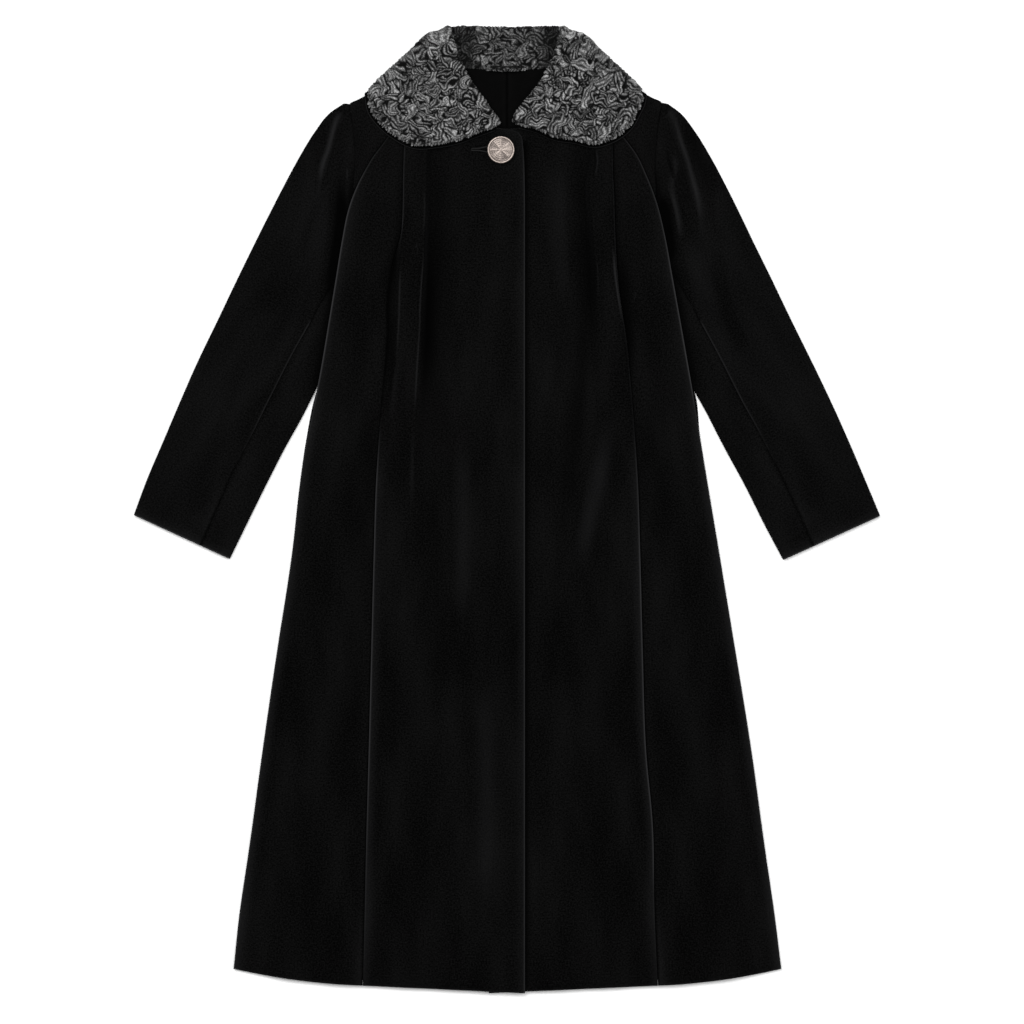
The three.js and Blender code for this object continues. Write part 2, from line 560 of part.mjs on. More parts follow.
// A pair of wall points on a collar section. The section gives its points, levels and thickness.
function collarPair(section, station) {
  const { neck, centre, edge, away, fold, thickness, turn, standAt, fallAt } = section;
  let point = centre;
  let height = 0;
  let tilt = [0, turn];
  if (station <= 1) {
    point = mix2(neck, centre, station);
    height = standAt(point);
    tilt = [0, -turn];
  } else if (station < 2) {
    const angle = (station - 1) * Math.PI;
    tilt = [Math.sin(angle), -turn * Math.cos(angle)];
    height = (standAt(centre) + fallAt(centre, 0)) / 2 + tilt[1] * fold;
    point = [centre[0] + away[0] * tilt[0] * fold, centre[1] + away[1] * tilt[0] * fold];
  } else {
    point = mix2(centre, edge, station - 2);
    height = fallAt(point, Math.hypot(point[0] - centre[0], point[1] - centre[1]));
  }
  const put = (offset) => [
    point[0] + away[0] * tilt[0] * offset, point[1] + away[1] * tilt[0] * offset, height + tilt[1] * offset,
  ];
  return { outer: put(thickness / 2), inner: put(-thickness / 2) };
}

// A front lobe of the collar, in pile or in under cloth.
function collarLobe(side, isPile, positions, fallSteps) {
  const thickness = isPile ? PILE : UNDER_CLOTH;
  const fold = isPile ? COLLAR_FOLD : UNDER_FOLD;
  const rollInset = COLLAR_FOLD + PILE / 2;
  const pair = (position, station) => {
    const { roll, edge, stand } = readRow(side.lobe, position);
    const length = Math.hypot(edge[0] - roll[0], edge[1] - roll[1]);
    const along = [(edge[0] - roll[0]) / length, (edge[1] - roll[1]) / length];
    const reach = (distance) => [roll[0] + along[0] * distance, roll[1] + along[1] * distance];
    const standLow = ([out, y]) => neckFloor(side.sign * out, y);
    const level = (point) => standLow(point) + PILE + GAP + UNDER_CLOTH + GAP / 2;
    const over = clamp01((position - 9.3) / 0.7) ** 2;
    const fallAt = (point, distance) => {
      const past = smooth((distance + rollInset - stand) / STAND_EASE);
      const onStand = level(point) + GAP / 2;
      const onBody = collarRest(side.sign * point[0], point[1]);
      const rest = Math.max(lerp(onStand, onBody, past), past > 0 ? onBody : 0);
      const low = lerp(rest, GAP, isPile ? over * past : 0);
      return low + (isPile ? UNDER_CLOTH * (1 - over * past) + GAP + PILE / 2 : UNDER_CLOTH / 2);
    };
    const section = {
      neck: reach(stand), centre: reach(rollInset), edge: reach(length),
      away: [-along[0], -along[1]], fold, thickness, turn: 1,
      standAt: (point) => level(point) - fold, fallAt,
    };
    const mirrored = ([out, y, z]) => [side.sign * out, y, z];
    const { outer, inner } = collarPair(section, station);
    return { outer: mirrored(outer), inner: mirrored(inner) };
  };
  const stations = collarStations(fallSteps);
  if (!isPile) stations.push(3 + UNDER_PEEK);
  return wall(positions, stations, pair);
}

// The collar behind the neck: its stand shows inside, and its fall lies on the floor.
function collarBack(isPile, fallSteps) {
  const thickness = isPile ? PILE : UNDER_CLOTH;
  const fold = isPile ? COLLAR_FOLD : UNDER_FOLD;
  const level = PILE + GAP + UNDER_CLOTH + GAP / 2;
  const last = BACK_COLLAR.length - 1;
  const pair = (position, station) => {
    const row = readRow(BACK_COLLAR, Math.abs(position));
    const flip = ([out, y]) => [Math.sign(position) * out, y];
    const centre = [row.roll[0], row.roll[1] - COLLAR_FOLD - PILE / 2];
    const section = {
      neck: flip(row.neck), centre: flip(centre), edge: flip(row.edge), away: [0, 1], fold, thickness,
      turn: -1, standAt: () => level + fold, fallAt: () => level - fold,
    };
    return collarPair(section, station);
  };
  const positions = range(8).map((t) => lerp(-last, last, t));
  return wall(positions, collarStations(fallSteps), pair);
}

// ---- Button, buttonhole and loop --------------------------------------------------------------

const wasm = await Module();
wasm.setup();

// A closed geometry as a manifold solid.
function solidOf(geometry) {
  const bare = geometry.clone();
  bare.deleteAttribute('normal');
  bare.deleteAttribute('uv');
  const merged = mergeVertices(bare, 1e-4);
  return new wasm.Manifold(new wasm.Mesh({
    numProp: 3,
    vertProperties: new Float32Array(merged.attributes.position.array),
    triVerts: new Uint32Array(merged.index.array),
  }));
}

function geometryOf(solid) {
  const mesh = solid.getMesh();
  const geometry = new THREE.BufferGeometry();
  geometry.setAttribute('position', new THREE.BufferAttribute(mesh.vertProperties, 3));
  geometry.setIndex(new THREE.BufferAttribute(mesh.triVerts, 1));
  return geometry;
}

// The right front with the buttonhole cut through it.
function frontWithSlot() {
  const cutter = new THREE.BoxGeometry(SLOT.right - SLOT.left, SLOT.half * 2, 60);
  cutter.translate((SLOT.left + SLOT.right) / 2, BUTTON_AT.y, 0);
  return geometryOf(solidOf(frontPanel(SIDES.right)).subtract(solidOf(cutter)));
}

// One lip of the buttonhole: a low half-round roll along the slit.
function welt(above) {
  const pair = (x, across) => {
    const slit = WELT.slit + WELT.part * smooth((x - BUTTON_AT.x + 14) / 8);
    const y = BUTTON_AT.y + above * lerp(slit, slit + WELT.width, across);
    const low = bodyTop(x, y) + 2 * GAP;
    const crown = 0.4 + 0.6 * Math.sin(Math.PI * across);
    return { outer: [x, y, low + WELT.height * crown], inner: [x, y, low] };
  };
  const xs = range(10).map((t) => lerp(SLOT.left - 1, SLOT.right + 1, t));
  return wall(xs, range(4), pair);
}

// A turned button with a raised rim and a shank that goes through the buttonhole.
function button(shankLength) {
  const [radius, thick, rim] = [BUTTON_RADIUS, BUTTON_THICKNESS, BUTTON_RIM];
  const profile = [
    [0, -shankLength], [BUTTON_SHANK, -shankLength], [BUTTON_SHANK, 0], [radius * 0.72, 0],
    [radius * 0.94, thick * 0.3], [radius, thick * 0.6], [radius - 0.5, thick * 0.92],
    [radius - rim, thick], [radius - rim * 1.7, thick - 0.8], [radius * 0.45, thick - 0.5], [0, thick - 0.3],
  ].map(([r, z]) => new THREE.Vector2(r, z));
  return new THREE.LatheGeometry(profile, 28).rotateX(Math.PI / 2);
}

// The hanger loop: a narrow band that arches off the collar stand.
function hangerLoop() {
  const low = 2 * (PILE + UNDER_CLOTH + GAP) + GAP + GAP;
  const pair = (along, across) => {
    const rise = LOOP.rise * Math.sin(Math.PI * along);
    const x = lerp(LOOP.left, LOOP.right, along);
    const y = lerp(LOOP.low, LOOP.high, across) - 1.2 * Math.sin(Math.PI * along);
    return { outer: [x, y, low + rise + LOOP.thickness], inner: [x, y, low + rise] };
  };
  return wall(range(12), range(2), pair);
}

// ---- The coat -------------------------------------------------------------------------------

const coat = new THREE.Group();

function piece(name, geometry, colour, roughness) {
  const material = new THREE.MeshStandardMaterial({ color: colour, roughness, metalness: 0 });
  const mesh = new THREE.Mesh(geometry, material);
  mesh.name = name;
  coat.add(mesh);
  return mesh;
}

for (const [name, side] of Object.entries(SIDES)) {
  piece(`back_${name}`, backPanel(side), COLOURS.velvet, 0.85);
  piece(`side_front_${name}`, sidePanel(side), COLOURS.velvet, 0.85);
  piece(`yoke_${name}`, yokePanel(side), COLOURS.velvet, 0.85);
  const cuff = side.sleeve.length - 1;
  const top = sleevePiece(side, true, sleevePositions(0, cuff, 26), 7, 3);
  piece(`top_sleeve_${name}`, top, COLOURS.velvet, 0.85);
  const under = sleevePiece(side, false, sleevePositions(5, cuff, 16), 4, 3);
  piece(`under_sleeve_${name}`, under, COLOURS.velvet, 0.85);
  const lobeRows = [...range(9).map((t) => t * 9), 9.5, 10];
  piece(`upper_collar_${name}`, collarLobe(side, true, lobeRows, 7), COLOURS.pile, 0.9);
  const underRows = range(9).map((t) => t * 9);
  piece(`under_collar_${name}`, collarLobe(side, false, underRows, 7), COLOURS.underCollar, 0.85);
}
piece('front_right', frontWithSlot(), COLOURS.velvet, 0.85);
piece('front_left', frontPanel(SIDES.left), COLOURS.velvet, 0.85);
piece('upper_collar_back', collarBack(true, 4), COLOURS.pile, 0.9);
piece('under_collar_back', collarBack(false, 3), COLOURS.underCollar, 0.85);
piece('back_lining', backLining(), COLOURS.lining, 0.5);
piece('hanger_loop', hangerLoop(), COLOURS.pile, 0.9);
piece('buttonhole_welt_upper', welt(1), COLOURS.welt, 0.7);
piece('buttonhole_welt_lower', welt(-1), COLOURS.welt, 0.7);

const clothAtButton = bodyTop(BUTTON_AT.x, BUTTON_AT.y);
const clothSlope = (bodyTop(BUTTON_AT.x, BUTTON_AT.y + 5) - bodyTop(BUTTON_AT.x, BUTTON_AT.y - 5)) / 10;
const shankLength = BUTTON_CLEAR + LAP_LIFT - GAP;
const coatButton = piece('button', button(shankLength), COLOURS.button, 0.3);
coatButton.rotation.x = Math.atan(clothSlope);
coatButton.position.set(BUTTON_AT.x, BUTTON_AT.y - BUTTON_CLEAR * clothSlope, clothAtButton + BUTTON_CLEAR);

export default coat;
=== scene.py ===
"""Swing coat, laid flat on its back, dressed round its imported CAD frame.

Black velvet panels, flattened two-piece sleeves, a wide collar of curled pile and one button.
Sizes are in millimetres until a mesh is made. +X is the wearer's left, +Y the neck, +Z up from
the floor. "Out" is the distance from the centre line, "right" and "left" are the wearer's.
"""

from __future__ import annotations

import logging
import math
import sys
from collections.abc import Callable, Sequence
from dataclasses import dataclass, field
from enum import Enum

import bpy
import numpy as np
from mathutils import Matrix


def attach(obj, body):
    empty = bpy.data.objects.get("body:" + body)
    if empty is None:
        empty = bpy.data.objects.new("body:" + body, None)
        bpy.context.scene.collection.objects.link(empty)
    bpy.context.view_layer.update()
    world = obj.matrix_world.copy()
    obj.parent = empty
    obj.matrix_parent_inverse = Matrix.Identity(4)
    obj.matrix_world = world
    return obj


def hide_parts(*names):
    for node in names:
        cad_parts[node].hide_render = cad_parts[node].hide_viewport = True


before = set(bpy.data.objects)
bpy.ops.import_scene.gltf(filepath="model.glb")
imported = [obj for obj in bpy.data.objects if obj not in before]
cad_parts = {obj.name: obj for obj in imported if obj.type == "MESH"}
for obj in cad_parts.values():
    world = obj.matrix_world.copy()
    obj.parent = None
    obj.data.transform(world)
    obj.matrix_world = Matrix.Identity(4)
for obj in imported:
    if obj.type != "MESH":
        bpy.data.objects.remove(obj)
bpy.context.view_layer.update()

LOG = logging.getLogger("swing_coat")
MM = 0.001
Array = np.ndarray
Piece = bpy.types.Object
Tree = bpy.types.NodeTree
Socket = bpy.types.NodeSocket
Height = Callable[[Array, Array], Array]

# ---- Cloths and gaps, as the frame's solids have them ------------------------------------------

CLOTH = 2.2  # velvet, its interlining and lining
PILE = 4.6  # curled pile cloth of the upper collar
UNDER_CLOTH = 1.6  # under collar
LINING = 1.0
GAP = 0.3  # between pieces at a seam
REST = 1.0  # under a piece that lies loosely on another
LOFT = 2.4  # air between front and back away from the outline
LOFT_REACH = 70.0
LAP_LIFT = CLOTH * 1.1 + GAP  # the right front rides on the left one
LAP_START = -52.0
LAP_REACH = 28.0
ARMHOLE_LIFT = 4.8  # the body's edge stands on the sleeve
ARMHOLE_BAND = 14.0
ARMHOLE_REACH = 40.0
NECK_LIFT = PILE + GAP + UNDER_CLOTH + GAP  # the collar's fall lies under the back neck
NECK_LIFT_LOW, NECK_LIFT_HIGH = 400.0, 470.0
NECK_LIFT_IN, NECK_LIFT_OUT = 120.0, 178.0
STAND_FROM, STAND_RISE = 500.0, 20.0
HEM_BOW = 3.5
HEM_BOW_FROM, HEM_BOW_REACH = -490.0, 60.0
LEAST_CLOTH = 0.12  # where a top would meet its underside
FAR = 99.0  # from an edge that a point doesn't have
STAND_TOP = 2 * (UNDER_CLOTH + PILE) + 4.5 * GAP
COLLAR_FOLD = GAP / 2 + UNDER_CLOTH + GAP + PILE / 2  # centre of the roll to the pile's middle
UNDER_FOLD = GAP / 2 + UNDER_CLOTH / 2
FOLD_BRIDGE = 45.0
STAND_EASE = 22.0
UNDER_PEEK = 4.6  # the under collar shows below the pile
BULGE, BULGE_HEADING = 8.0, (0.62, 0.78)  # of a lobe's pile over its roll, out and up
SLEEVE_LOFT = 3.2
SLEEVE_TUCK = 0.45
SLEEVE_EASE = 32.0
BUTTON_AT = (-7.2, 430.0)
SLOT = (-42.0, -4.0)


class Side(Enum):
    """A side of the wearer, with its sign along X."""

    RIGHT = -1
    LEFT = 1

    @property
    def label(self) -> str:
        """The side's name in lower case."""
        return self.name.lower()


# ---- Small numeric helpers -----------------------------------------------------------------------


def smooth(t: Array | float) -> Array:
    """An S-curve from 0 to 1: three times the square less twice the cube, held beyond its ends."""
    c = np.clip(t, 0.0, 1.0)
    return c * c * (3 - 2 * c)


def lerp(a: Array | float, b: Array | float, t: Array | float) -> Array | float:
    """The value a share t of the way from a to b."""
    return a + (b - a) * t


def bell(distance: Array, width: Array | float) -> Array:
    """A soft bump: e to the minus square of distance over width."""
    return np.exp(-((distance / width) ** 2))


def through(knots: Sequence[float], values: Sequence, at: Array) -> Array:
    """Reads a smooth curve through values at rising or falling knots, held beyond its ends.

    Between two knots it is the cubic whose slopes there are those of the parabola through each
    knot and its two neighbours.

    Args:
        knots: where the values stand, in order.
        values: a number or a point for each knot.
        at: where to read it, of any shape.

    Returns:
        The values read, with at's shape, and the point's own axis last where values are points.
    """
    k, v, at = np.asarray(knots, float), np.asarray(values, float), np.asarray(at, float)
    if k[0] > k[-1]:
        k, v = k[::-1], v[::-1]
    points = v.ndim > 1
    wide = (slice(None), None) if points else (slice(None),)
    step = np.diff(k)
    chord = np.diff(v, axis=0) / step[wide]
    slope = np.concatenate([chord[:1], v[1:-1] * 0, chord[-1:]])
    before, after = step[:-1][wide], step[1:][wide]
    slope[1:-1] = (chord[:-1] * after + chord[1:] * before) / (before + after)
    at = np.clip(at, k[0], k[-1])
    i = np.clip(np.searchsorted(k, at, side="right") - 1, 0, len(step) - 1)
    t, h = (at - k[i]) / step[i], step[i]
    if points:
        t, h = t[..., None], h[..., None]
    lead = (2 * t**3 - 3 * t**2 + 1) * v[i] + (3 * t**2 - 2 * t**3) * v[i + 1]
    return lead + ((t**3 - 2 * t**2 + t) * slope[i] + (t**3 - t**2) * slope[i + 1]) * h


def size_of(arrows: Array) -> Array:
    """The length of each arrow, whose parts are on the last axis."""
    return np.linalg.norm(arrows, axis=-1)


def travelled(points: Array) -> Array:
    """How far along a line each of its points lies, by its straight chords."""
    return np.concatenate([[0.0], np.cumsum(size_of(np.diff(points, axis=0)))])


@dataclass(frozen=True)
class Line:
    """A smooth line through points [out, y], read by a fractional row number."""

    points: tuple[tuple[float, float], ...]

    @property
    def knots(self) -> Array:
        """Distance along the straight chords to each point."""
        return travelled(np.array(self.points, float))

    def at_row(self, row: Array) -> Array:
        """Points on the line at fractional rows, the row's whole part choosing the chord."""
        knots = self.knots
        return through(knots, self.points, np.interp(row, np.arange(len(knots)), knots))

    def out_at(self, y: Array) -> Array:
        """How far out the line lies at heights y. The line falls from its first point."""
        p = np.array(self.points, float)
        return through(p[:, 1], p[:, 0], y)


def near_line(x: Array, y: Array, line: Sequence[tuple[float, float]]) -> tuple[Array, Array]:
    """Distance from points to a bent line, signed by side, and how far along it they fall.

    Args:
        x: first coordinates.
        y: second coordinates.
        line: the bent line's corners.

    Returns:
        The distance, positive to the line's left as it runs, and the share along it from 0 to 1.
    """
    best = np.full(np.shape(x), np.inf)
    signed, along = np.zeros(np.shape(x)), np.zeros(np.shape(x))
    spans = len(line) - 1
    for i in range(spans):
        (ax, ay), (bx, by) = line[i], line[i + 1]
        dx, dy = bx - ax, by - ay
        t = np.clip(((x - ax) * dx + (y - ay) * dy) / (dx * dx + dy * dy), 0, 1)
        ox, oy = x - ax - dx * t, y - ay - dy * t
        far = np.hypot(ox, oy)
        closer = far < best
        best = np.where(closer, far, best)
        signed = np.where(closer, np.sign(dx * oy - dy * ox) * far, signed)
        along = np.where(closer, (i + t) / spans, along)
    return signed, along


# ---- The coat's pattern lines ----------------------------------------------------------------


LEAST_WIDTH = 10.0  # the narrowest width in mm that a cut is given in metres; the narrowest sheet that the frame takes


@dataclass(frozen=True)
class Cut:
    """The flat cut of what shows of a cloth, in mm."""

    width: float
    length: float
    area: float

    def metres(self) -> tuple[tuple[float, float], float]:
        """The width and length in metres, no narrower than the frame takes, and the area."""
        return (max(self.width, LEAST_WIDTH) * MM, self.length * MM), self.area * MM * MM


def cut_between(first: Array, second: Array, layers: Array | float = 1.0,
                more: Array | float = 0.0) -> Cut:
    """Works out a flat cut from two lines of the pattern, before any fold is raised.

    Args:
        first: one line's points, in mm.
        second: the other line's points, row for row.
        layers: how many times the cloth covers each row's width.
        more: mm of cloth that each row has beside the first line, such as a stand or a fold.

    Returns:
        The cut: its widest row, its longer line, and the area of the rows' quads.
    """
    layers = np.broadcast_to(layers, len(first))
    more = np.broadcast_to(more, len(first))
    one, other = second[1:] - first[:-1], second[:-1] - first[1:]
    quads = np.abs(one[:, 0] * other[:, 1] - one[:, 1] * other[:, 0]) / 2
    runs = [size_of(np.diff(line, axis=0)) for line in (first, second)]
    area = quads * (layers[1:] + layers[:-1]) / 2 + runs[0] * (more[1:] + more[:-1]) / 2
    width = size_of(second - first) * layers + more
    return Cut(float(width.max()), float(max(run.sum() for run in runs)), float(area.sum()))


@dataclass(frozen=True)
class Crease:
    """A soft ridge (rise above 0) or trough (below 0) of a width along a bent line [out, y]."""

    rise: float
    width: float
    line: tuple[tuple[float, float], ...]
    skew: float = 0.0  # above 0, its flank on the line's left is the steeper one
    fade: float = 0.25  # share of its length over which each end dies away

    def height(self, out: Array, y: Array) -> Array:
        """Its height: a bell across the line, times an S-curve up and down at its two ends."""
        spans = len(self.line) - 1
        bent = through(np.arange(spans + 1), self.line, np.linspace(0, spans, 4 * spans + 1))
        signed, along = near_line(out, y, bent)
        width = self.width * (1 - self.skew * np.sign(signed))
        ends = smooth(along / self.fade) * smooth((1 - along) / self.fade)
        return self.rise * bell(signed, width) * ends


@dataclass(frozen=True)
class SidePattern:
    """One side's lines, as points [out, y] from the neck down to the hem."""

    side: Side
    outline: Line
    seam: Line
    side_edge: Line
    yoke_seam: Line
    yoke_armhole: Line
    fold: tuple[tuple[float, ...], ...]  # y, outer edge, inner edge, rise, softness
    sleeve_outer: Line
    sleeve_inner: Line
    sleeve_seams: tuple[tuple[float, float], ...]  # front and back seam, as shares of the width
    tucks: tuple[Crease, ...]
    lobe_roll: Line
    lobe_edge: Line
    lobe_stand: tuple[float, ...]

    @property
    def sign(self) -> int:
        """The side's sign along X."""
        return self.side.value


RIGHT = SidePattern(
    side=Side.RIGHT,
    outline=Line((
        (188, 486), (185, 466), (182, 445), (181, 427), (181, 410), (184, 386), (191, 356),
        (196, 331), (202, 297), (208, 257), (213, 226), (228, 142), (241, 82), (248, 34),
        (259, -62), (274, -158), (295, -302), (308, -398), (322, -494), (328, -552),
    )),
    seam=Line((
        (99.5, 524.5), (107, 505.6), (121, 481), (122.5, 462), (123.2, 448), (123.6, 434),
        (124, 420), (124.4, 405), (124.8, 388), (125, 365), (127, 331), (137, 292), (143.5, 255),
        (144, 206), (148, 150), (153, 95), (157, 35), (160, -56), (163, -173), (166, -291),
        (169, -400), (171, -490), (173, -572),
    )),
    side_edge=Line((
        (123, 477.7), (135, 458.3), (145, 442), (153, 431.5), (161, 420.8), (169, 407.3),
        (176.4, 393.6), (183, 379), (190, 359), (198, 320), (205, 277), (214, 222), (223, 168),
        (228.5, 139), (244, 60), (259, -62), (274, -160), (293, -290), (308, -398), (320, -483),
        (328, -552),
    )),
    yoke_seam=Line((
        (99.5, 524.5), (107, 505.6), (121, 481), (123, 477.7), (135, 458.3), (145, 442),
        (153, 431.5), (161, 420.8), (169, 407.3), (176.4, 393.6), (179.1, 387.8), (181.5, 382.6),
    )),
    yoke_armhole=Line((
        (103, 527.5), (135, 511.5), (163, 497.5), (167, 495.5), (178, 490), (187.5, 485),
        (186, 472), (184.5, 462), (182.3, 437), (181.2, 412), (182.9, 396), (184.2, 384.6),
    )),
    fold=(
        (447, 121.4, 98, 0, 9), (428, 121.6, 98, 6, 8), (385, 122.4, 98, 10, 7),
        (331, 124, 99.6, 13, 7), (285, 127.6, 101.2, 13, 7), (230, 129.5, 104, 11, 8),
        (170, 133, 107.5, 8, 12), (95, 138, 112, 4, 18), (10, 142, 118, 0, 24),
    ),
    sleeve_outer=Line((
        (195.6, 486), (213.6, 473.4), (230.4, 451.8), (250.8, 418.2), (268.8, 384.6), (286, 351),
        (303, 317), (320.4, 281.4), (346.8, 226.2), (374.4, 168.6), (391.2, 130.2),
        (411.6, 82.2), (432, 34.2), (447.6, -7.8),
    )),
    sleeve_inner=Line((
        (188.4, 484.9), (184.8, 464), (181.6, 438), (179.4, 398), (181.3, 353), (187.5, 311.5),
        (193.4, 272), (200.1, 231), (218.8, 168), (244.8, 111), (265.6, 73.5), (289.4, 27),
        (312.6, -20), (332.4, -60.6),
    )),
    sleeve_seams=(
        (1, 1), (1, 1), (1, 1), (1, 1), (1, 1), (0.965, 0.965), (0.885, 0.78), (0.785, 0.66),
        (0.703, 0.55), (0.687, 0.47), (0.694, 0.43), (0.684, 0.39), (0.693, 0.36), (0.698, 0.35),
    ),
    tucks=(
        Crease(5, 6, ((196, 477), (202, 469), (208, 454), (214, 430), (220, 411), (225, 389))),
    ),
    lobe_roll=Line((
        (7, 463), (13, 471), (20, 481), (27, 491), (35, 502), (43, 514), (50, 527), (56, 540),
        (61, 553), (64.5, 568), (66.5, 581.4),
    )),
    lobe_edge=Line((
        (16, 456), (36, 449), (58, 441), (84, 436), (110, 434.5), (134, 446), (151, 460),
        (163, 477), (165.5, 489), (165.8, 497), (163, 504.6),
    )),
    lobe_stand=(7, 14, 24, 33, 40, 44, 45, 44, 40, 38, 36),
)
LEFT = SidePattern(
    side=Side.LEFT,
    outline=Line((
        (185, 486), (181, 466), (178, 445), (176, 423), (177, 394), (178, 372), (185, 349),
        (190, 321), (197, 285), (204, 248), (212, 201), (221, 150), (232, 82), (244, 10),
        (256, -62), (272, -158), (295, -302), (308, -398), (322, -494), (329, -552),
    )),
    seam=Line((
        (99.5, 524.5), (107, 505), (121, 478), (124, 460), (126, 446), (127, 432), (127, 418),
        (127, 404), (128, 388), (129, 365), (130, 331), (132, 292), (135.5, 255), (143, 206),
        (148.5, 150), (153, 95), (157, 35), (160, -56), (163, -173), (167, -291), (175, -380),
        (177, -480), (181, -572),
    )),
    side_edge=Line((
        (123, 474.5), (132, 459), (140, 445), (148, 434.5), (155.4, 424), (161, 413.5),
        (165.6, 403), (174.4, 382), (181, 362), (189.2, 328), (198, 280), (207, 230),
        (217, 173), (221.5, 147), (236, 58), (256, -62), (272, -160), (293, -290), (308, -398),
        (320, -483), (329, -552),
    )),
    yoke_seam=Line((
        (99.5, 524.5), (107, 505), (121, 478), (123, 474.5), (132, 459), (140, 445),
        (148, 434.5), (155.4, 424), (161, 413.5), (165.6, 403), (169.4, 394.6), (174.4, 382),
        (176.8, 374),
    )),
    yoke_armhole=Line((
        (103, 527.5), (135, 511.5), (163, 497.5), (166.5, 495.7), (175, 491.5), (184, 487),
        (182.4, 475), (180.5, 463), (178.6, 444), (177, 426), (176.3, 418), (177, 391),
        (178.2, 376),
    )),
    fold=(
        (449, 123.6, 106, 0, 9), (428, 124.6, 105, 8, 7), (385, 125.4, 99, 13, 7),
        (331, 127, 104, 13, 8), (285, 129.4, 108, 12, 9), (231, 136.4, 110, 11, 12),
        (195, 140, 114, 9, 15), (130, 144, 118, 4, 20), (50, 148, 122, 0, 24),
    ),
    sleeve_outer=Line((
        (193.2, 485.4), (208.8, 473.4), (225.6, 451.8), (246, 418.2), (262, 388), (279, 354),
        (296, 318.5), (313.5, 283), (340.8, 226.2), (370, 167), (387.6, 130.2), (409.2, 82.2),
        (429.6, 34.2), (447.6, -9),
    )),
    sleeve_inner=Line((
        (184.9, 486.6), (181, 464), (177.2, 438), (174.5, 398), (175.5, 353), (180, 311.5),
        (187.3, 272), (194.9, 231), (211.5, 168), (240.5, 112), (260, 74), (285.5, 27),
        (309, -20), (331.2, -61.8),
    )),
    sleeve_seams=(
        (1, 1), (1, 1), (1, 1), (1, 1), (1, 1), (0.975, 0.965), (0.867, 0.78), (0.771, 0.66),
        (0.687, 0.55), (0.687, 0.47), (0.675, 0.43), (0.677, 0.39), (0.675, 0.36), (0.691, 0.35),
    ),
    tucks=(
        Crease(6, 7, ((191, 479), (197, 473), (205, 448), (217, 411), (227, 377), (235, 345))),
        Crease(5, 6, ((196, 435), (202, 411), (197, 387), (204, 352), (209, 321))),
    ),
    lobe_roll=Line((
        (6, 464), (9, 473), (16, 482), (24, 492), (32, 502), (40, 513), (47, 526), (53, 539),
        (58, 552), (61, 566), (63.5, 581),
    )),
    lobe_edge=Line((
        (15, 459), (36, 454), (57, 445), (82, 441), (106, 436), (128, 443), (146, 457),
        (156, 474), (162, 488), (162.5, 496), (160, 504),
    )),
    lobe_stand=(7, 14, 24, 33, 40, 44, 45, 44, 40, 38, 36),
)
LAP = -21.6  # the front edge's straight run, past the centre line
FRONT_EDGE = Line((
    (96.8, 524), (91, 502), (80, 484.5), (52, 464.5), (12, 455.5), (-17, 447), (-19.5, 433),
    (-20.6, 417), (-21.2, 395),
    *((LAP, y) for y in (368, 331, 292, 255, 206, 150, 95, 35, -56, -173, -291, -400, -490, -581)),
))
BACK_NECK = Line(((0, 525.1), (26, 526.6), (52, 528.1), (70, 529.2), (82, 530.2)))
BACK_ROLL = Line(((0, 577.5), (23, 578), (45, 578.5), (59, 578.5), (69, 577)))
BACK_EDGE = Line(((0, 480), (36, 480), (72, 483), (102, 492), (117, 508)))
FIRST_SIDE_ROW = 2
# Soft flares that widen to the hem on both fronts: out at the top, out at the hem, width, rise.
FLARES = ((40, 62, 26, 2.2), (90, 122, 24, 1.8), (172, 205, 26, 2.0), (205, 262, 24, 2.2))
FLARE_TOP = 150.0
FLARE_BOTTOM = -560.0
# Back panels, row by row: heights at the centre back seam, over the shoulder blade, at the edge.
BACK_CENTRE = (524.4, 510, 496, 482, 469, 456, 442, 426, 408, 360, 312, 272, 231, 168, 141,
               60, -62, -158, -302, -398, -490, -579)
BACK_BLADE = (530, 516, 501, 485, 471, 456, 441, 424, 406, 360, 312, 272, 231, 168, 141,
              60, -62, -158, -302, -398, -490, -568)
BACK_SIDE = (482.5, 473, 464, 455, 446.5, 438, 424, 411, 398, 353, 311.5, 272, 231, 168, 142,
             60, -62, -158, -302, -398, -490, -551)
BLADE_NECK = 97.0
BLADE_HEM = 150.0

# Creases that the cloth has kept on each side of the fronts and on each sleeve.
BODY_CREASES = {
    Side.RIGHT: (
        Crease(1.1, 9, ((50, 110), (54, 62), (57, -80), (52, -230))),
        Crease(-1.5, 13, ((84, 290), (82, 180), (78, 60), (80, 0))),
        Crease(-1.0, 2.0, ((70, 452), (69.6, 430), (69, 408)), fade=0.4),
        Crease(0.7, 6, ((63, 452), (62, 425), (58, 380)), fade=0.4),
        Crease(-0.8, 1.6, ((112, 320), (109.5, 314), (108, 306))),
        Crease(0.8, 16, ((28, 300), (22, 120), (30, -60))),
        Crease(1.0, 12, ((118, -80), (126, -260), (140, -470))),
        Crease(-0.8, 12, ((96, -120), (104, -300), (112, -480))),
        Crease(0.9, 12, ((196, 20), (206, -150), (226, -360))),
    ),
    Side.LEFT: (
        Crease(1.3, 11, ((74, 345), (62, 240), (56, 193), (41, 129), (32, 60))),
        Crease(1.3, 12, ((136, 135), (118, 80), (98, 16), (84, -60))),
        Crease(-1.2, 12, ((100, 200), (92, 130), (72, 50), (66, -20))),
        Crease(-0.9, 5, ((84, 440), (86, 400), (88, 340)), fade=0.4),
        Crease(0.8, 14, ((40, -120), (52, -280), (60, -450))),
        Crease(1.0, 12, ((120, -100), (134, -280), (150, -480))),
        Crease(-0.8, 12, ((96, -60), (106, -260), (116, -470))),
        Crease(0.9, 12, ((190, 60), (204, -120), (224, -340))),
    ),
}
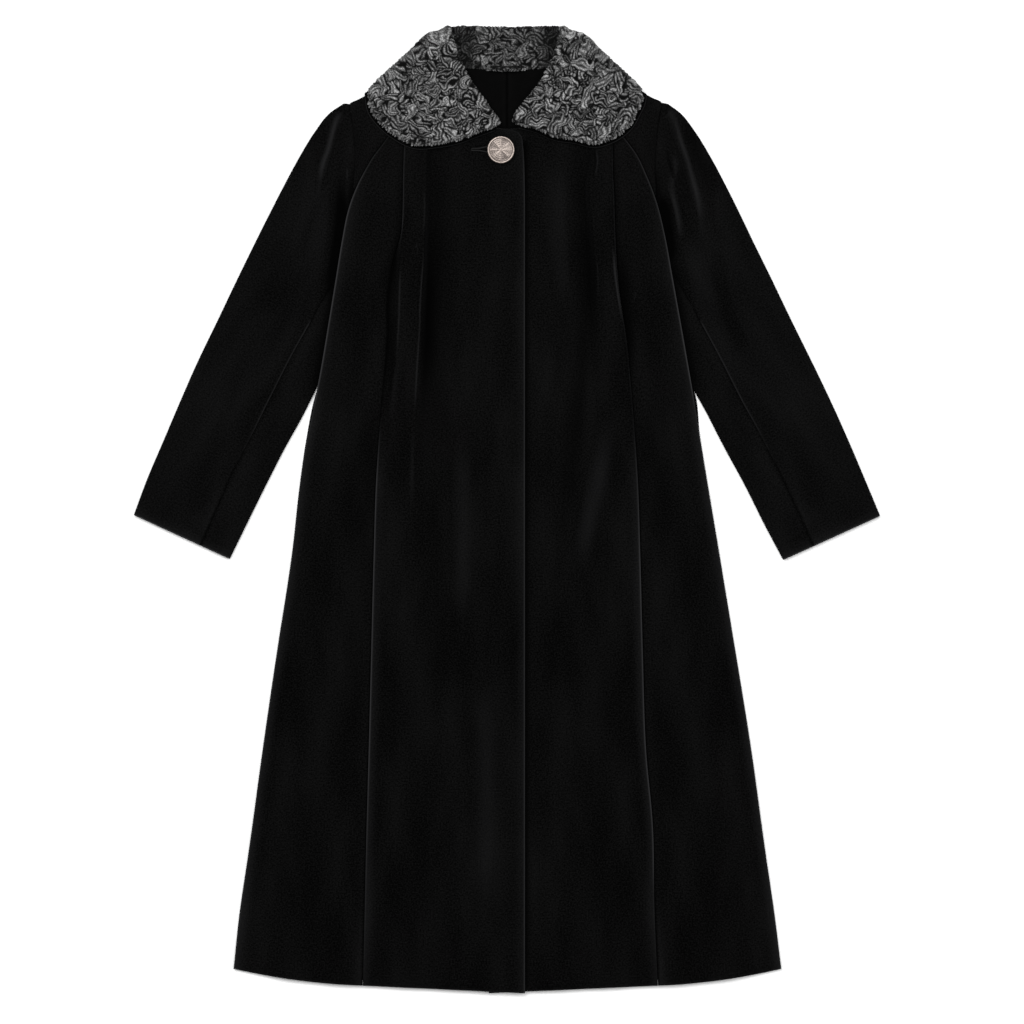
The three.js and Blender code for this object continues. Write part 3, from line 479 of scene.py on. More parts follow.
SLEEVE_CREASES = {
    Side.RIGHT: (
        Crease(1.0, 12, ((262, 300), (284, 220), (316, 130), (340, 60))),
        Crease(-1.0, 10, ((232, 250), (262, 180), (296, 110))),
        Crease(0.8, 14, ((330, 40), (352, -8), (372, -30))),
        Crease(-0.7, 9, ((222, 378), (240, 330), (252, 290))),
    ),
    Side.LEFT: (
        Crease(1.0, 11, ((216, 330), (232, 270), (252, 200), (280, 140))),
        Crease(-1.0, 10, ((252, 320), (262, 250), (288, 180))),
        Crease(0.8, 14, ((322, 60), (348, 4), (368, -26))),
        Crease(-0.9, 5, ((206, 440), (210, 400), (214, 350))),
        Crease(0.8, 9, ((246, 390), (262, 340), (272, 290))),
    ),
}

# Painted highlight (above 0) and painted shade (below 0) along those folds and creases.
BODY_PAINTED_SHADING = {
    Side.RIGHT: (
        Crease(0.12, 1.1, ((126.4, 312), (127.9, 286), (129.1, 238), (130.8, 202), (133, 175)),
               fade=0.3),
        Crease(0.10, 1.4, ((99, 392), (98.2, 351), (99.6, 320)), fade=0.4),
        Crease(0.19, 1.1, ((99.6, 345), (99.6, 305), (102, 272), (103.9, 238), (104.4, 214),
                           (107.4, 172), (109.8, 130), (111.6, 98))),
        Crease(0.05, 2.6, ((110.5, 125), (113, 60), (115, -10)), fade=0.4),
        Crease(0.045, 5.0, ((123.6, 214), (133.2, 166), (138, 130), (142.8, 94)), fade=0.4),
        Crease(0.12, 1.0, ((112, 319), (108.7, 314), (107.2, 306)), fade=0.3),
        Crease(-0.22, 15, ((84, 452), (86, 385), (88, 331), (91, 285), (94, 230), (97, 170),
                           (102, 95), (106, 10)), skew=0.45),
        Crease(-0.28, 8.5, ((92, 350), (93, 285), (96, 230), (98, 170), (102, 110)),
               skew=0.4, fade=0.4),
        Crease(0.03, 12, ((52, 90), (50, -20), (54, -140))),
        Crease(-0.08, 11, ((90, 60), (86, -20), (84, -120), (88, -260))),
        Crease(-0.09, 12, ((172, 140), (172, 20), (180, -120), (186, -320))),
        Crease(-0.06, 7, ((160, 140), (164, 40), (170, -60))),
        Crease(0.04, 12, ((28, -200), (24, -330), (26, -480))),
    ),
    Side.LEFT: (
        Crease(-0.34, 1.1, ((103.2, 442), (105.6, 418), (104.4, 406), (101.4, 393))),
        Crease(0.10, 1.3, ((105.4, 434), (107.8, 418), (106.6, 406), (104, 396))),
        Crease(0.11, 1.3, ((104.4, 322), (108, 286), (108.6, 262), (106.4, 240)), fade=0.3),
        Crease(0.27, 1.2, ((126.6, 316), (128.4, 296), (129.6, 280), (132, 262), (135, 244),
                           (136.8, 232), (139.6, 206))),
        Crease(-0.22, 11, ((88, 452), (90, 385), (93, 322), (96, 274), (95, 226), (90, 166),
                           (83, 82), (73, -2), (64, -60)), skew=0.2),
        Crease(-0.12, 7, ((98, 350), (100, 300), (101, 262), (98, 215)), fade=0.4),
        Crease(0.03, 14, ((60, 420), (66, 330), (72, 240))),
        Crease(-0.24, 7, ((138, 345), (141, 285), (144, 235), (148, 195), (151, 150)), fade=0.35),
        Crease(0.08, 1.2, ((154.8, 264), (152.6, 252), (151.2, 242)), fade=0.3),
        Crease(0.06, 11, ((126, 120), (111, 34), (99, -14), (87, -84)), fade=0.3),
        Crease(-0.07, 10, ((172, 154), (178, 60), (184, -30))),
        Crease(-0.05, 12, ((120, -20), (116, -140), (120, -300))),
    ),
}
SLEEVE_PAINTED_SHADING = {
    Side.RIGHT: (
        Crease(0.11, 2.4, ((197, 476), (203, 468), (207.6, 452), (213.6, 430), (219.6, 414),
                           (223.2, 396), (225.6, 370)), skew=-0.3, fade=0.3),
        Crease(0.17, 1.8, ((191.6, 416), (191.4, 384), (191.2, 346)), fade=0.3),
        Crease(-0.48, 6.5, ((199, 420), (200.4, 370), (202.8, 328), (209, 286), (217, 246)),
               fade=0.3),
        Crease(-0.14, 10, ((222, 476), (234, 448), (243, 428), (252, 402)), fade=0.4),
        Crease(0.02, 14, ((222, 396), (226, 340), (232, 280)), fade=0.4),
        Crease(-0.08, 12, ((262, 330), (276, 280), (292, 228)), fade=0.4),
    ),
    Side.LEFT: (
        Crease(0.09, 2.6, ((192, 483), (202.8, 460), (208.8, 438), (216, 418), (222, 394),
                           (228, 370), (231.6, 346), (235.2, 318)), skew=-0.3, fade=0.3),
        Crease(-0.22, 9, ((210, 472), (224, 442), (234, 412), (243, 376)), fade=0.35),
        Crease(-0.26, 1.5, ((190.2, 434), (195.6, 412), (200.4, 394))),
        Crease(0.08, 2.6, ((192.8, 392), (196.8, 376), (200.4, 364), (204, 348), (206.4, 328),
                           (208, 304)), fade=0.35),
        Crease(-0.50, 6.0, ((186.8, 384), (190.8, 352), (195.6, 322), (200, 292)), fade=0.3),
        Crease(0.02, 13, ((220, 330), (232, 280), (250, 220)), fade=0.4),
    ),
}

# ---- Heights of the laid coat ------------------------------------------------------------------


def neck_lift(x: Array, y: Array) -> Array:
    """How far the collar's hidden fall lifts the back neck: one S-curve across times one up."""
    across = smooth((NECK_LIFT_OUT - np.abs(x)) / (NECK_LIFT_OUT - NECK_LIFT_IN))
    return NECK_LIFT * across * smooth((y - NECK_LIFT_LOW) / (NECK_LIFT_HIGH - NECK_LIFT_LOW))


def box_fold(p: SidePattern, y: Array) -> Array:
    """The box fold's outer edge, inner edge, rise and softness at heights y."""
    table = np.array(p.fold, float)
    return np.moveaxis(through(table[:, 0], table[:, 1:], y), -1, 0)


def fold_rise(p: SidePattern, out: Array, y: Array) -> Array:
    """The unpressed box fold beside the princess seam.

    It is the rise times an S-curve up to the outer edge, half of it slow from the seam and half
    crisp, times an S-curve down past the inner edge. Each edge has a narrow lip and a shallow
    valley outside it, as bells.
    """
    outer, inner, rise, soft = box_fold(p, y)
    seam = p.seam.out_at(y)
    reach = np.clip(seam - outer, 2.0, 6.5)
    slow = smooth((seam - out) / np.maximum(seam - outer, reach))
    crisp = smooth((outer + reach - out) / reach)
    box = lerp(slow, crisp, 0.5) * smooth((out - inner + soft) / soft)
    lips = 0.10 * bell(out - outer + 1.2, 2.0) + 0.12 * bell(out - inner - 1.4, 2.2)
    valleys = 0.16 * bell(out - inner + soft + 8, 10) + 0.05 * bell(out - outer - 6, 4)
    within = (y <= p.fold[0][0]) & (y >= p.fold[-1][0])
    return np.where(within, rise * (box + lips - valleys), 0.0)


def flare_rise(out: Array, y: Array) -> Array:
    """Soft flares: bells across whose lines spread and whose rise grows towards the hem."""
    down = np.clip((FLARE_TOP - y) / (FLARE_TOP - FLARE_BOTTOM), 0, 1)
    rise = np.zeros(np.shape(out))
    for top, bottom, half, height in FLARES:
        rise = rise + height * smooth(down * 2) * bell(out - lerp(top, bottom, down), half)
    return rise


def side_under(p: SidePattern, out: Array, y: Array) -> Array:
    """Underside of one side's fronts: cloth below, air, the armhole's stand, folds and creases."""
    inside = p.outline.out_at(y) - out
    lift = ARMHOLE_LIFT * lerp(1, 0.72, smooth((y - 400) / 60)) * smooth((y - 105) / 45)
    armhole = lift * (1 - smooth((inside - ARMHOLE_BAND) / ARMHOLE_REACH))
    rest = CLOTH + GAP + LOFT * smooth(inside / LOFT_REACH) + armhole
    creases = sum(crease.height(out, y) for crease in BODY_CREASES[p.side])
    shaped = rest + fold_rise(p, out, y) + flare_rise(out, y) + creases
    return neck_lift(out, y) + np.maximum(shaped, CLOTH + GAP / 2)


def front_under(x: Array, y: Array) -> Array:
    """Underside of the fronts, apart from the right front's lap."""
    return np.where(x < 0, side_under(RIGHT, -x, y), side_under(LEFT, x, y))


def lap_rise(x: Array) -> Array:
    """Lift of the right front over the left one: one S-curve across."""
    return LAP_LIFT * smooth((x - LAP_START) / LAP_REACH)


def standing(under: Height, x: Array, y: Array, thickness: Array | float) -> Array:
    """Upright thickness of a cloth on a slope: thickness times the slope's stretch, to 1.6."""
    slope_x = under(x + 0.5, y) - under(x - 0.5, y)
    slope_y = under(x, y + 0.5) - under(x, y - 0.5)
    return thickness * np.minimum(1.6, np.sqrt(1 + slope_x**2 + slope_y**2))


def lap_step(x: Array, y: Array) -> Array:
    """Lift of whatever lies on both fronts: the lap's, easing down past the front edge."""
    return lap_rise(x) * (1 - smooth((x + FRONT_EDGE.out_at(y)) / 14))


def body_top(x: Array, y: Array) -> Array:
    """Top of the fronts where the button lies on them."""
    return front_under(x, y) + standing(front_under, x, y, CLOTH) + lap_step(x, y)


def collar_rest(p: SidePattern, out: Array, y: Array) -> Array:
    """What the collar lies on: the front without its box fold, plus one wide swell over it."""
    outer, inner, rise, _ = box_fold(p, y)
    swell = 1.15 * rise * bell(out - (outer + inner) / 2, FOLD_BRIDGE)
    swell = np.where(y > p.fold[0][0], 0.0, swell)

    def under(o: Array, v: Array) -> Array:
        """The front's underside without its box fold."""
        return side_under(p, o, v) - fold_rise(p, o, v)

    flat = under(out, y) + standing(under, out, y, CLOTH) + lap_step(p.sign * out, y)
    return flat + swell + REST


def neck_floor(x: Array, y: Array) -> Array:
    """Floor inside the neck: the lining, then the top of the back collar's stand."""
    lining = neck_lift(x, y) + CLOTH + GAP + LINING + REST
    return lerp(lining, STAND_TOP, smooth((y - STAND_FROM) / STAND_RISE))


# Reach in mm, and how much painted highlight a crest gets and painted shade a hollow gets for each
# mm of height.
PAINTED_SHADING_REACHES = ((3.0, 0.03, 0.10), (14.0, 0.006, 0.03))


def painted_shading_of(height: Height, x: Array, y: Array) -> Array:
    """Painted highlight and shade for the velvet: above 0 on a crest, below 0 in a hollow.

    For each reach it is the height less the mean height at that reach to four sides, weighted.
    """
    here = height(x, y)
    total = np.zeros(np.shape(x))
    for reach, crest, hollow in PAINTED_SHADING_REACHES:
        around = height(x + reach, y) + height(x - reach, y)
        around = around + height(x, y + reach) + height(x, y - reach)
        rise = here - around / 4
        total = total + rise * np.where(rise > 0, crest, hollow)
    return total


# ---- Meshes ------------------------------------------------------------------------------------


def quads_of(grid: Array) -> Array:
    """The four-sided faces of a grid of point numbers, along a row first."""
    corners = (grid[:-1, :-1], grid[:-1, 1:], grid[1:, 1:], grid[1:, :-1])
    return np.stack(corners, -1).reshape(-1, 4)


def shell(name: str, outer: Array, inner: Array, uv: Array, coarse: int = 2,
          marks: dict[str, Array] | None = None) -> Piece:
    """Makes a closed shell from two grids of points.

    The outer grid keeps every point. The inner one keeps each coarse-th, and the rim between
    them is one face to each coarse step. The whole is turned outwards by the sign of its volume.

    Args:
        name: the object's name.
        outer: outer points in mm, rows by columns by 3.
        inner: inner points in mm, of the same shape.
        uv: cloth coordinates in mm, rows by columns by 2.
        coarse: how many steps of the outer grid one step of the inner grid takes.
        marks: values from 0 to 1 for each outer point, kept as attributes of these names.

    Returns:
        The new object, at the origin, in metres.
    """
    rows, cols = outer.shape[:2]
    k = coarse
    inside = inner[::k, ::k]
    many = rows * cols
    front = np.arange(many).reshape(rows, cols)
    back = many + np.arange(inside.shape[0] * inside.shape[1]).reshape(inside.shape[:2])
    quads = np.concatenate([quads_of(front)[:, [0, 3, 2, 1]], quads_of(back)])
    rims = []
    for line, under, ahead in ((front[0], back[0], True), (front[-1], back[-1], False),
                               (front[:, 0], back[:, 0], False), (front[:, -1], back[:, -1], True)):
        spans = np.stack([line[i:len(line) - k + i:k] for i in range(k + 1)], -1)
        walls = np.concatenate([spans, under[1:, None], under[:-1, None]], -1)
        rims.append(walls if ahead else walls[:, ::-1])
    rims = np.concatenate(rims)
    points = np.concatenate([outer.reshape(-1, 3), inside.reshape(-1, 3)])
    a, b, c, d = (points[quads[:, i]] for i in range(4))
    volume = np.einsum("ij,ij->", a, np.cross(b, c)) + np.einsum("ij,ij->", a, np.cross(c, d))
    if volume < 0:
        quads, rims = quads[:, ::-1], rims[:, ::-1]
    mesh = bpy.data.meshes.new(name)
    mesh.from_pydata(points * MM, [], quads.tolist() + rims.tolist())
    mesh.shade_smooth()
    corners = np.zeros(len(mesh.loops), np.int32)
    mesh.loops.foreach_get("vertex_index", corners)
    flat = np.concatenate([uv.reshape(-1, 2), uv[::k, ::k].reshape(-1, 2)]) * MM
    layer = mesh.uv_layers.new(name="cloth")
    layer.data.foreach_set("uv", flat[corners].astype(np.float32).ravel())
    for mark, values in (marks or {}).items():
        layer = mesh.attributes.new(mark, "FLOAT", "POINT")
        whole = np.concatenate([values.ravel(), np.full(len(inside.reshape(-1, 3)), 0.3)])
        layer.data.foreach_set("value", whole.astype(np.float32))
    mesh.validate()
    made = bpy.data.objects.new(name, mesh)
    bpy.context.scene.collection.objects.link(made)
    return made


EDGE_STEPS = np.array([0.0, 0.12, 0.4, 0.9, 1.6, 2.6, 4.2])


def near_edge(width: Array, ways: int) -> Array:
    """Shares of the close steps at an edge, which take up to one part in ways of the width."""
    return EDGE_STEPS * np.minimum(1, width / (ways * EDGE_STEPS[-1])) / width


def shares(width: Array, count: int) -> Array:
    """Shares from 0 to 1 across a width: close steps in mm at both ends, even ones between.

    Args:
        width: widths in mm, one for each row.
        count: how many even points, an odd number so that the inner grid can halve them.

    Returns:
        One row of shares for each width.
    """
    width = np.atleast_1d(width)[:, None]
    near = near_edge(width, 3)
    even = lerp(near[:, -1:], 1 - near[:, -1:], np.linspace(0, 1, count))
    return np.concatenate([near[:, :-1], even, 1 - near[:, -2::-1]], 1)


def odd(number: float) -> int:
    """The nearest odd count, at least 3."""
    return max(3, 2 * int(number / 2) + 1)


@dataclass(frozen=True)
class Rim:
    """How a cloth's top stands along one edge: a lip above 0 or a dip below 0, and its reach.

    Its sheen is a painted highlight beside the edge, in a narrow line and in a wide glow, at
    heights from the top down. Below 0 it is painted shade instead.
    """

    lip: float = 0.0
    reach: float = 3.0
    sheen: tuple[tuple[float, float, float], ...] = ((0.0, 0.1, 0.0),)  # y, line, glow

    def height(self, distance: Array) -> Array:
        """A bell whose middle stands just inside the edge."""
        return self.lip * bell(distance - 1.4, self.reach)

    def painted_shading_at(self, distance: Array, y: Array) -> Array:
        """Painted highlight, or painted shade below 0: a narrow bell and a wide one at the edge."""
        heights, line, glow = np.array(self.sheen[::-1]).T
        narrow = np.interp(y, heights, line) * bell(distance - 0.4, 1.0)
        return narrow + np.interp(y, heights, glow) * bell(distance, 8.0)


def rolled(distance: Array, radius: float) -> Array:
    """How far a quarter-round edge has dropped at a distance inside it."""
    return radius * (1 - np.sqrt(np.clip(1 - (1 - np.clip(distance / radius, 0, 1)) ** 2, 0, 1)))


# ---- Velvet panels -----------------------------------------------------------------------------


@dataclass(frozen=True)
class Panel:
    """A cloth panel between two lines of points [out, y], lying at a height."""

    name: str
    sign: int
    first: Callable[[Array], Array]
    second: Callable[[Array], Array]
    rows: tuple[float, float]
    under: Height
    thickness: float = CLOTH
    step: float = 5.0  # down the panel
    across: float = 1.5
    bow: float = 0.0  # how far the hem sags between its two ends
    rims: tuple[Rim, Rim, Rim, Rim] = (Rim(), Rim(), Rim(), Rim())  # first, second, top, hem
    extra_rows: tuple[float, ...] = ()
    carve: Height | None = None  # depth taken off the top
    # Painted highlight and painted shade lines, mixed into the velvet's colour.
    painted_shading: tuple[Crease, ...] = ()

    def lines(self, rows: Array) -> tuple[Array, Array, Array]:
        """Points of both lines at each row, and the widths between them."""
        a, b = self.first(rows), self.second(rows)
        return a, b, size_of(b - a)

    def cut(self, more: Callable[[Array], Array] | None = None) -> Cut:
        """The flat cut between both lines, and the cloth that a fold takes up at each height."""
        a, b, _ = self.lines(np.linspace(*self.rows, 300))
        return cut_between(a, b, more=more(a[:, 1]) if more else 0.0)

    def row_numbers(self) -> tuple[Array, Array]:
        """Rows close together at both ends and even between, with each one's distance down."""
        rough = np.linspace(*self.rows, 600)
        a, b, _ = self.lines(rough)
        travel = travelled((a + b) / 2)
        total = travel[-1]
        rows = np.interp(shares(total, odd(total / self.step))[0] * total, travel, rough)
        rows = np.unique(np.concatenate([rows, self.extra_rows]))
        if len(rows) % 2 == 0:
            gap = int(np.argmax(np.diff(rows)))
            rows = np.insert(rows, gap + 1, (rows[gap] + rows[gap + 1]) / 2)
        return rows, np.interp(rows, rough, travel)

    def build(self) -> Piece:
        """Makes the panel's closed shell.

        A point is the row's first point plus a share of the way to its second. Its underside
        stands at the given height. Its top is one thickness up, with quarter-round edges, the
        rims' bells and whatever is carved off it.

        Returns:
            The panel's object.
        """
        rows, travel = self.row_numbers()
        a, b, width = self.lines(rows)
        t = shares(width, odd(width.max() / self.across))
        points = a[:, None] + (b - a)[:, None] * t[..., None]
        out, y = points[..., 0], points[..., 1]
        y = y - self.bow * 4 * t * (1 - t) * smooth((HEM_BOW_FROM - y) / HEM_BOW_REACH)
        x = self.sign * out
        down = np.broadcast_to(travel[:, None], x.shape)
        edges = (t * width[:, None], (1 - t) * width[:, None], down, travel[-1] - down)
        drop = rolled(np.minimum.reduce(edges), self.thickness / 2)
        low = self.under(x, y)
        top = low + standing(self.under, x, y, self.thickness) - drop
        top = top + sum(rim.height(far) for rim, far in zip(self.rims, edges))
        if self.carve:
            top = top - self.carve(x, y)
        low = low + drop
        top = np.maximum(top, low + LEAST_CLOTH)
        uv = np.stack([edges[0], -down], -1)
        creases = BODY_CREASES.get(Side(self.sign), ())
        # Painted highlight on crests and edges and painted shade in hollows, kept as a mark for the
        # colour.
        painted_shading = 0.5 + painted_shading_of(lambda a, b: sum(c.height(a, b) for c in creases), out, y)
        painted_shading = painted_shading + sum(line.height(out, y) for line in self.painted_shading)
        painted_shading = painted_shading + sum(rim.painted_shading_at(far, y) for rim, far in zip(self.rims, edges))
        return shell(self.name, np.stack([x, y, top], -1), np.stack([x, y, low], -1), uv,
                     marks={"painted_shading": np.clip(painted_shading, 0, 1)})


def beside(line: Callable[[Array], Array], out: float) -> Callable[[Array], Array]:
    """The same line moved outwards."""
    return lambda rows: line(rows) + np.array([out, 0.0])


def slot_depth(x: Array, y: Array) -> Array:
    """The buttonhole's slit: an S-curve across it and one at each end."""
    across = 1 - smooth((np.abs(y - BUTTON_AT[1]) - 0.5) / 1.2)
    return 1.9 * across * smooth((x - SLOT[0]) / 1.5) * smooth((SLOT[1] - x) / 1.5)


# Painted highlight (above 0) and painted shade (below 0) down the princess seams: on the front's
# edge, then on the side front's.
SEAM_PAINTED_SHADING = {
    Side.RIGHT: (
        ((447, 0.1, 0), (425, 0.25, 0), (345, 0.28, 0), (312, -0.2, -0.1), (292, -0.4, -0.4),
         (200, -0.4, -0.42), (140, -0.2, -0.1), (105, 0, 0), (70, 0.2, 0.02), (30, 0.45, 0.05),
         (-300, 0.45, 0.05), (-420, 0.2, 0.07), (-572, 0, 0.06)),
        ((447, -0.1, 0), (346, -0.2, -0.1), (305, -0.3, -0.3), (262, -0.2, -0.1), (200, -0.2, 0),
         (30, -0.3, -0.02), (-400, -0.4, 0.0), (-572, -0.3, 0.04)),
    ),
    Side.LEFT: (
        ((447, 0.0, 0), (330, -0.1, 0), (300, 0, 0), (225, 0, 0), (190, 0.1, 0), (100, 0.05, 0),
         (60, 0.15, 0.02), (0, 0.3, 0.05), (-60, 0.45, 0.07), (-420, 0.42, 0.06), (-460, 0.1, 0.06),
         (-572, 0, 0.05)),
        ((447, -0.3, 0), (340, -0.3, -0.05), (280, -0.4, -0.2), (200, -0.4, -0.2),
         (150, -0.3, -0.05), (0, -0.4, 0.0), (-440, -0.4, 0.0), (-572, -0.4, 0.06)),
    ),
}
# Painted highlight down the side front's outer edge: the armhole, then the side.
ARMHOLE_PAINTED_HIGHLIGHT = {
    Side.RIGHT: ((442, 0.1, 0), (410, 0.22, 0), (388, 0.38, 0.02), (346, 0.6, 0.05),
                 (142, 0.6, 0.05), (120, 0.15, 0.08), (-572, 0.15, 0.08)),
    Side.LEFT: ((442, 0.16, 0), (400, 0.25, 0), (340, 0.36, 0.02), (290, 0.5, 0.04),
                (150, 0.6, 0.05), (120, 0.15, 0.08), (-572, 0.15, 0.08)),
}
# Painted highlight along the right front's edge, at heights from the top down.
FRONT_PAINTED_HIGHLIGHT = ((447, 0.1, 0.02), (400, 0.22, 0.04), (-572, 0.26, 0.05))


def lap_painted_shadow(y_top: float = 444.0) -> Crease:
    """Painted shadow of the right front's edge, on the left front beside it."""
    return Crease(-0.52, 7.5, ((20.6, y_top), (20.6, 0), (20.6, -581)), skew=0.3, fade=0.01)


def fold_cloth(p: SidePattern, y: Array) -> Array:
    """Cloth in the box fold at heights y: what both of its walls run beyond their own width."""
    at, _, _, rise, softness = np.array(p.fold[::-1], float).T
    return 2 * np.interp(y, at, np.hypot(rise, softness) - softness)


def front_panel(p: SidePattern) -> Panel:
    """A front, from its princess seam to the neckline and the front edge."""
    right = p.side is Side.RIGHT
    edge = Rim(0.35, 4.0, FRONT_PAINTED_HIGHLIGHT) if right else Rim()
    return Panel(
        name=f"front_{p.side.label}_velvet", sign=p.sign,
        first=beside(p.seam.at_row, -GAP * 0.6), second=FRONT_EDGE.at_row, rows=(0, 22),
        under=(lambda x, y: front_under(x, y) + lap_rise(x)) if right else front_under,
        rims=(Rim(0.55, 3.2, SEAM_PAINTED_SHADING[p.side][0]), edge, Rim(0.1), Rim(0.5, 9)),
        extra_rows=tuple(6.2 + d for d in (-0.2, -0.12, -0.07, -0.03, 0, 0.03, 0.07, 0.12, 0.2)),
        carve=slot_depth if right else None,
        painted_shading=BODY_PAINTED_SHADING[p.side] if right else (*BODY_PAINTED_SHADING[p.side], lap_painted_shadow()),
    )


def side_panel(p: SidePattern) -> Panel:
    """A side front, from its princess seam to the armhole and the side."""
    return Panel(
        name=f"side_front_{p.side.label}_velvet", sign=p.sign,
        first=beside(lambda rows: p.seam.at_row(rows + FIRST_SIDE_ROW), GAP * 0.6),
        second=p.side_edge.at_row, rows=(0, 20), under=front_under, bow=HEM_BOW,
        rims=(Rim(-0.5, 5.0, SEAM_PAINTED_SHADING[p.side][1]), Rim(0.5, 3.0, ARMHOLE_PAINTED_HIGHLIGHT[p.side]), Rim(),
              Rim(0.5, 9)),
        painted_shading=BODY_PAINTED_SHADING[p.side],
    )


def yoke_panel(p: SidePattern) -> Panel:
    """A shoulder panel, between the side front's curved seam and the armhole."""
    return Panel(
        name=f"yoke_{p.side.label}_velvet", sign=p.sign,
        first=beside(p.yoke_seam.at_row, GAP), second=beside(p.yoke_armhole.at_row, 0.9),
        rows=(0, len(p.yoke_seam.points) - 1), under=front_under, step=2.6,
        # Painted shade along the yoke's seam and its armhole edge.
        rims=(Rim(-0.45, 4.0, ((0, -0.25, -0.08),)), Rim(0.1, 2.6, ((0, -0.35, 0),)), Rim(), Rim()),
    )


def back_edge(p: SidePattern, y: Array) -> Array:
    """How far out the back reaches: the sleeve's inner line down the armhole, then the side."""
    inner = [(out - 0.5, v) for out, v in p.sleeve_inner.points[:9]]
    line = Line(tuple(inner + [point for point in p.outline.points if point[1] < 160]))
    return line.out_at(y)


def back_panels(p: SidePattern) -> tuple[Callable[[Array], Array], Callable[[Array], Array]]:
    """The back's centre line and side line, as functions of a row number."""
    numbers = np.arange(len(BACK_CENTRE))

    def centre(rows: Array) -> Array:
        """Points down the centre back seam."""
        y = np.interp(rows, numbers, BACK_CENTRE)
        return np.stack([np.full_like(y, 0.01), y], -1)

    def side(rows: Array) -> Array:
        """Points down the armhole and the side."""
        y = np.interp(rows, numbers, BACK_SIDE)
        return np.stack([back_edge(p, y), y], -1)

    return centre, side


@dataclass(frozen=True)
class BackPanel(Panel):
    """A back panel. Its rows bend up over the shoulder blade, by a tent between both lines."""

    def build(self) -> Piece:
        """Makes the back's closed shell, whose rows bend at the shoulder blade."""
        rows, travel = self.row_numbers()
        a, b, width = self.lines(rows)
        t = shares(width, odd(width.max() / self.across))
        out = lerp(a[:, :1], b[:, :1], t)
        numbers = np.arange(len(BACK_CENTRE))
        blade_out = lerp(BLADE_NECK, BLADE_HEM, rows / numbers[-1])[:, None]
        blade_y = np.interp(rows, numbers, BACK_BLADE)[:, None]
        share = smooth(out / blade_out) * 0.5 + 0.5 * np.clip(out / blade_out, 0, 1)
        inner = lerp(a[:, 1:], blade_y, share)
        outer = lerp(blade_y, b[:, 1:], np.clip((out - blade_out) / (b[:, :1] - blade_out), 0, 1))
        y = np.where(out < blade_out, inner, outer)
        x = self.sign * out
        down = np.broadcast_to(travel[:, None], x.shape)
        edges = (t * width[:, None], (1 - t) * width[:, None], down, travel[-1] - down)
        drop = rolled(np.minimum.reduce(edges[1:]), self.thickness / 2)
        low = self.under(x, y)
        seam = 0.5 * bell(edges[0], 2.2)
        top = low + self.thickness - drop
        low = low + drop
        uv = np.stack([edges[0], -down], -1)
        top = np.maximum(top - seam * 0.6, low + LEAST_CLOTH)
        return shell(self.name, np.stack([x, y, top], -1),
                     np.stack([x, y, low], -1), uv, marks={"painted_shading": np.full(x.shape, 0.5)})


def back_panel(p: SidePattern) -> BackPanel:
    """One half of the back, from the centre back seam to the armhole and the side."""
    centre, side = back_panels(p)
    return BackPanel(
        name=f"back_{p.side.label}_velvet", sign=p.sign, first=centre, second=side,
        rows=(0, len(BACK_CENTRE) - 1), under=neck_lift, step=7.0, across=7.0,
    )


# ---- Sleeves -----------------------------------------------------------------------------------


# Painted highlight (above 0) and painted shade (below 0) along the top sleeve's front seam.
SLEEVE_SEAM_PAINTED_SHADING = ((300, -0.2, 0), (230, -0.1, 0), (220, 0.18, 0), (120, 0.16, 0), (60, 0, 0),
                (30, -0.2, 0), (-60, -0.25, 0.02))


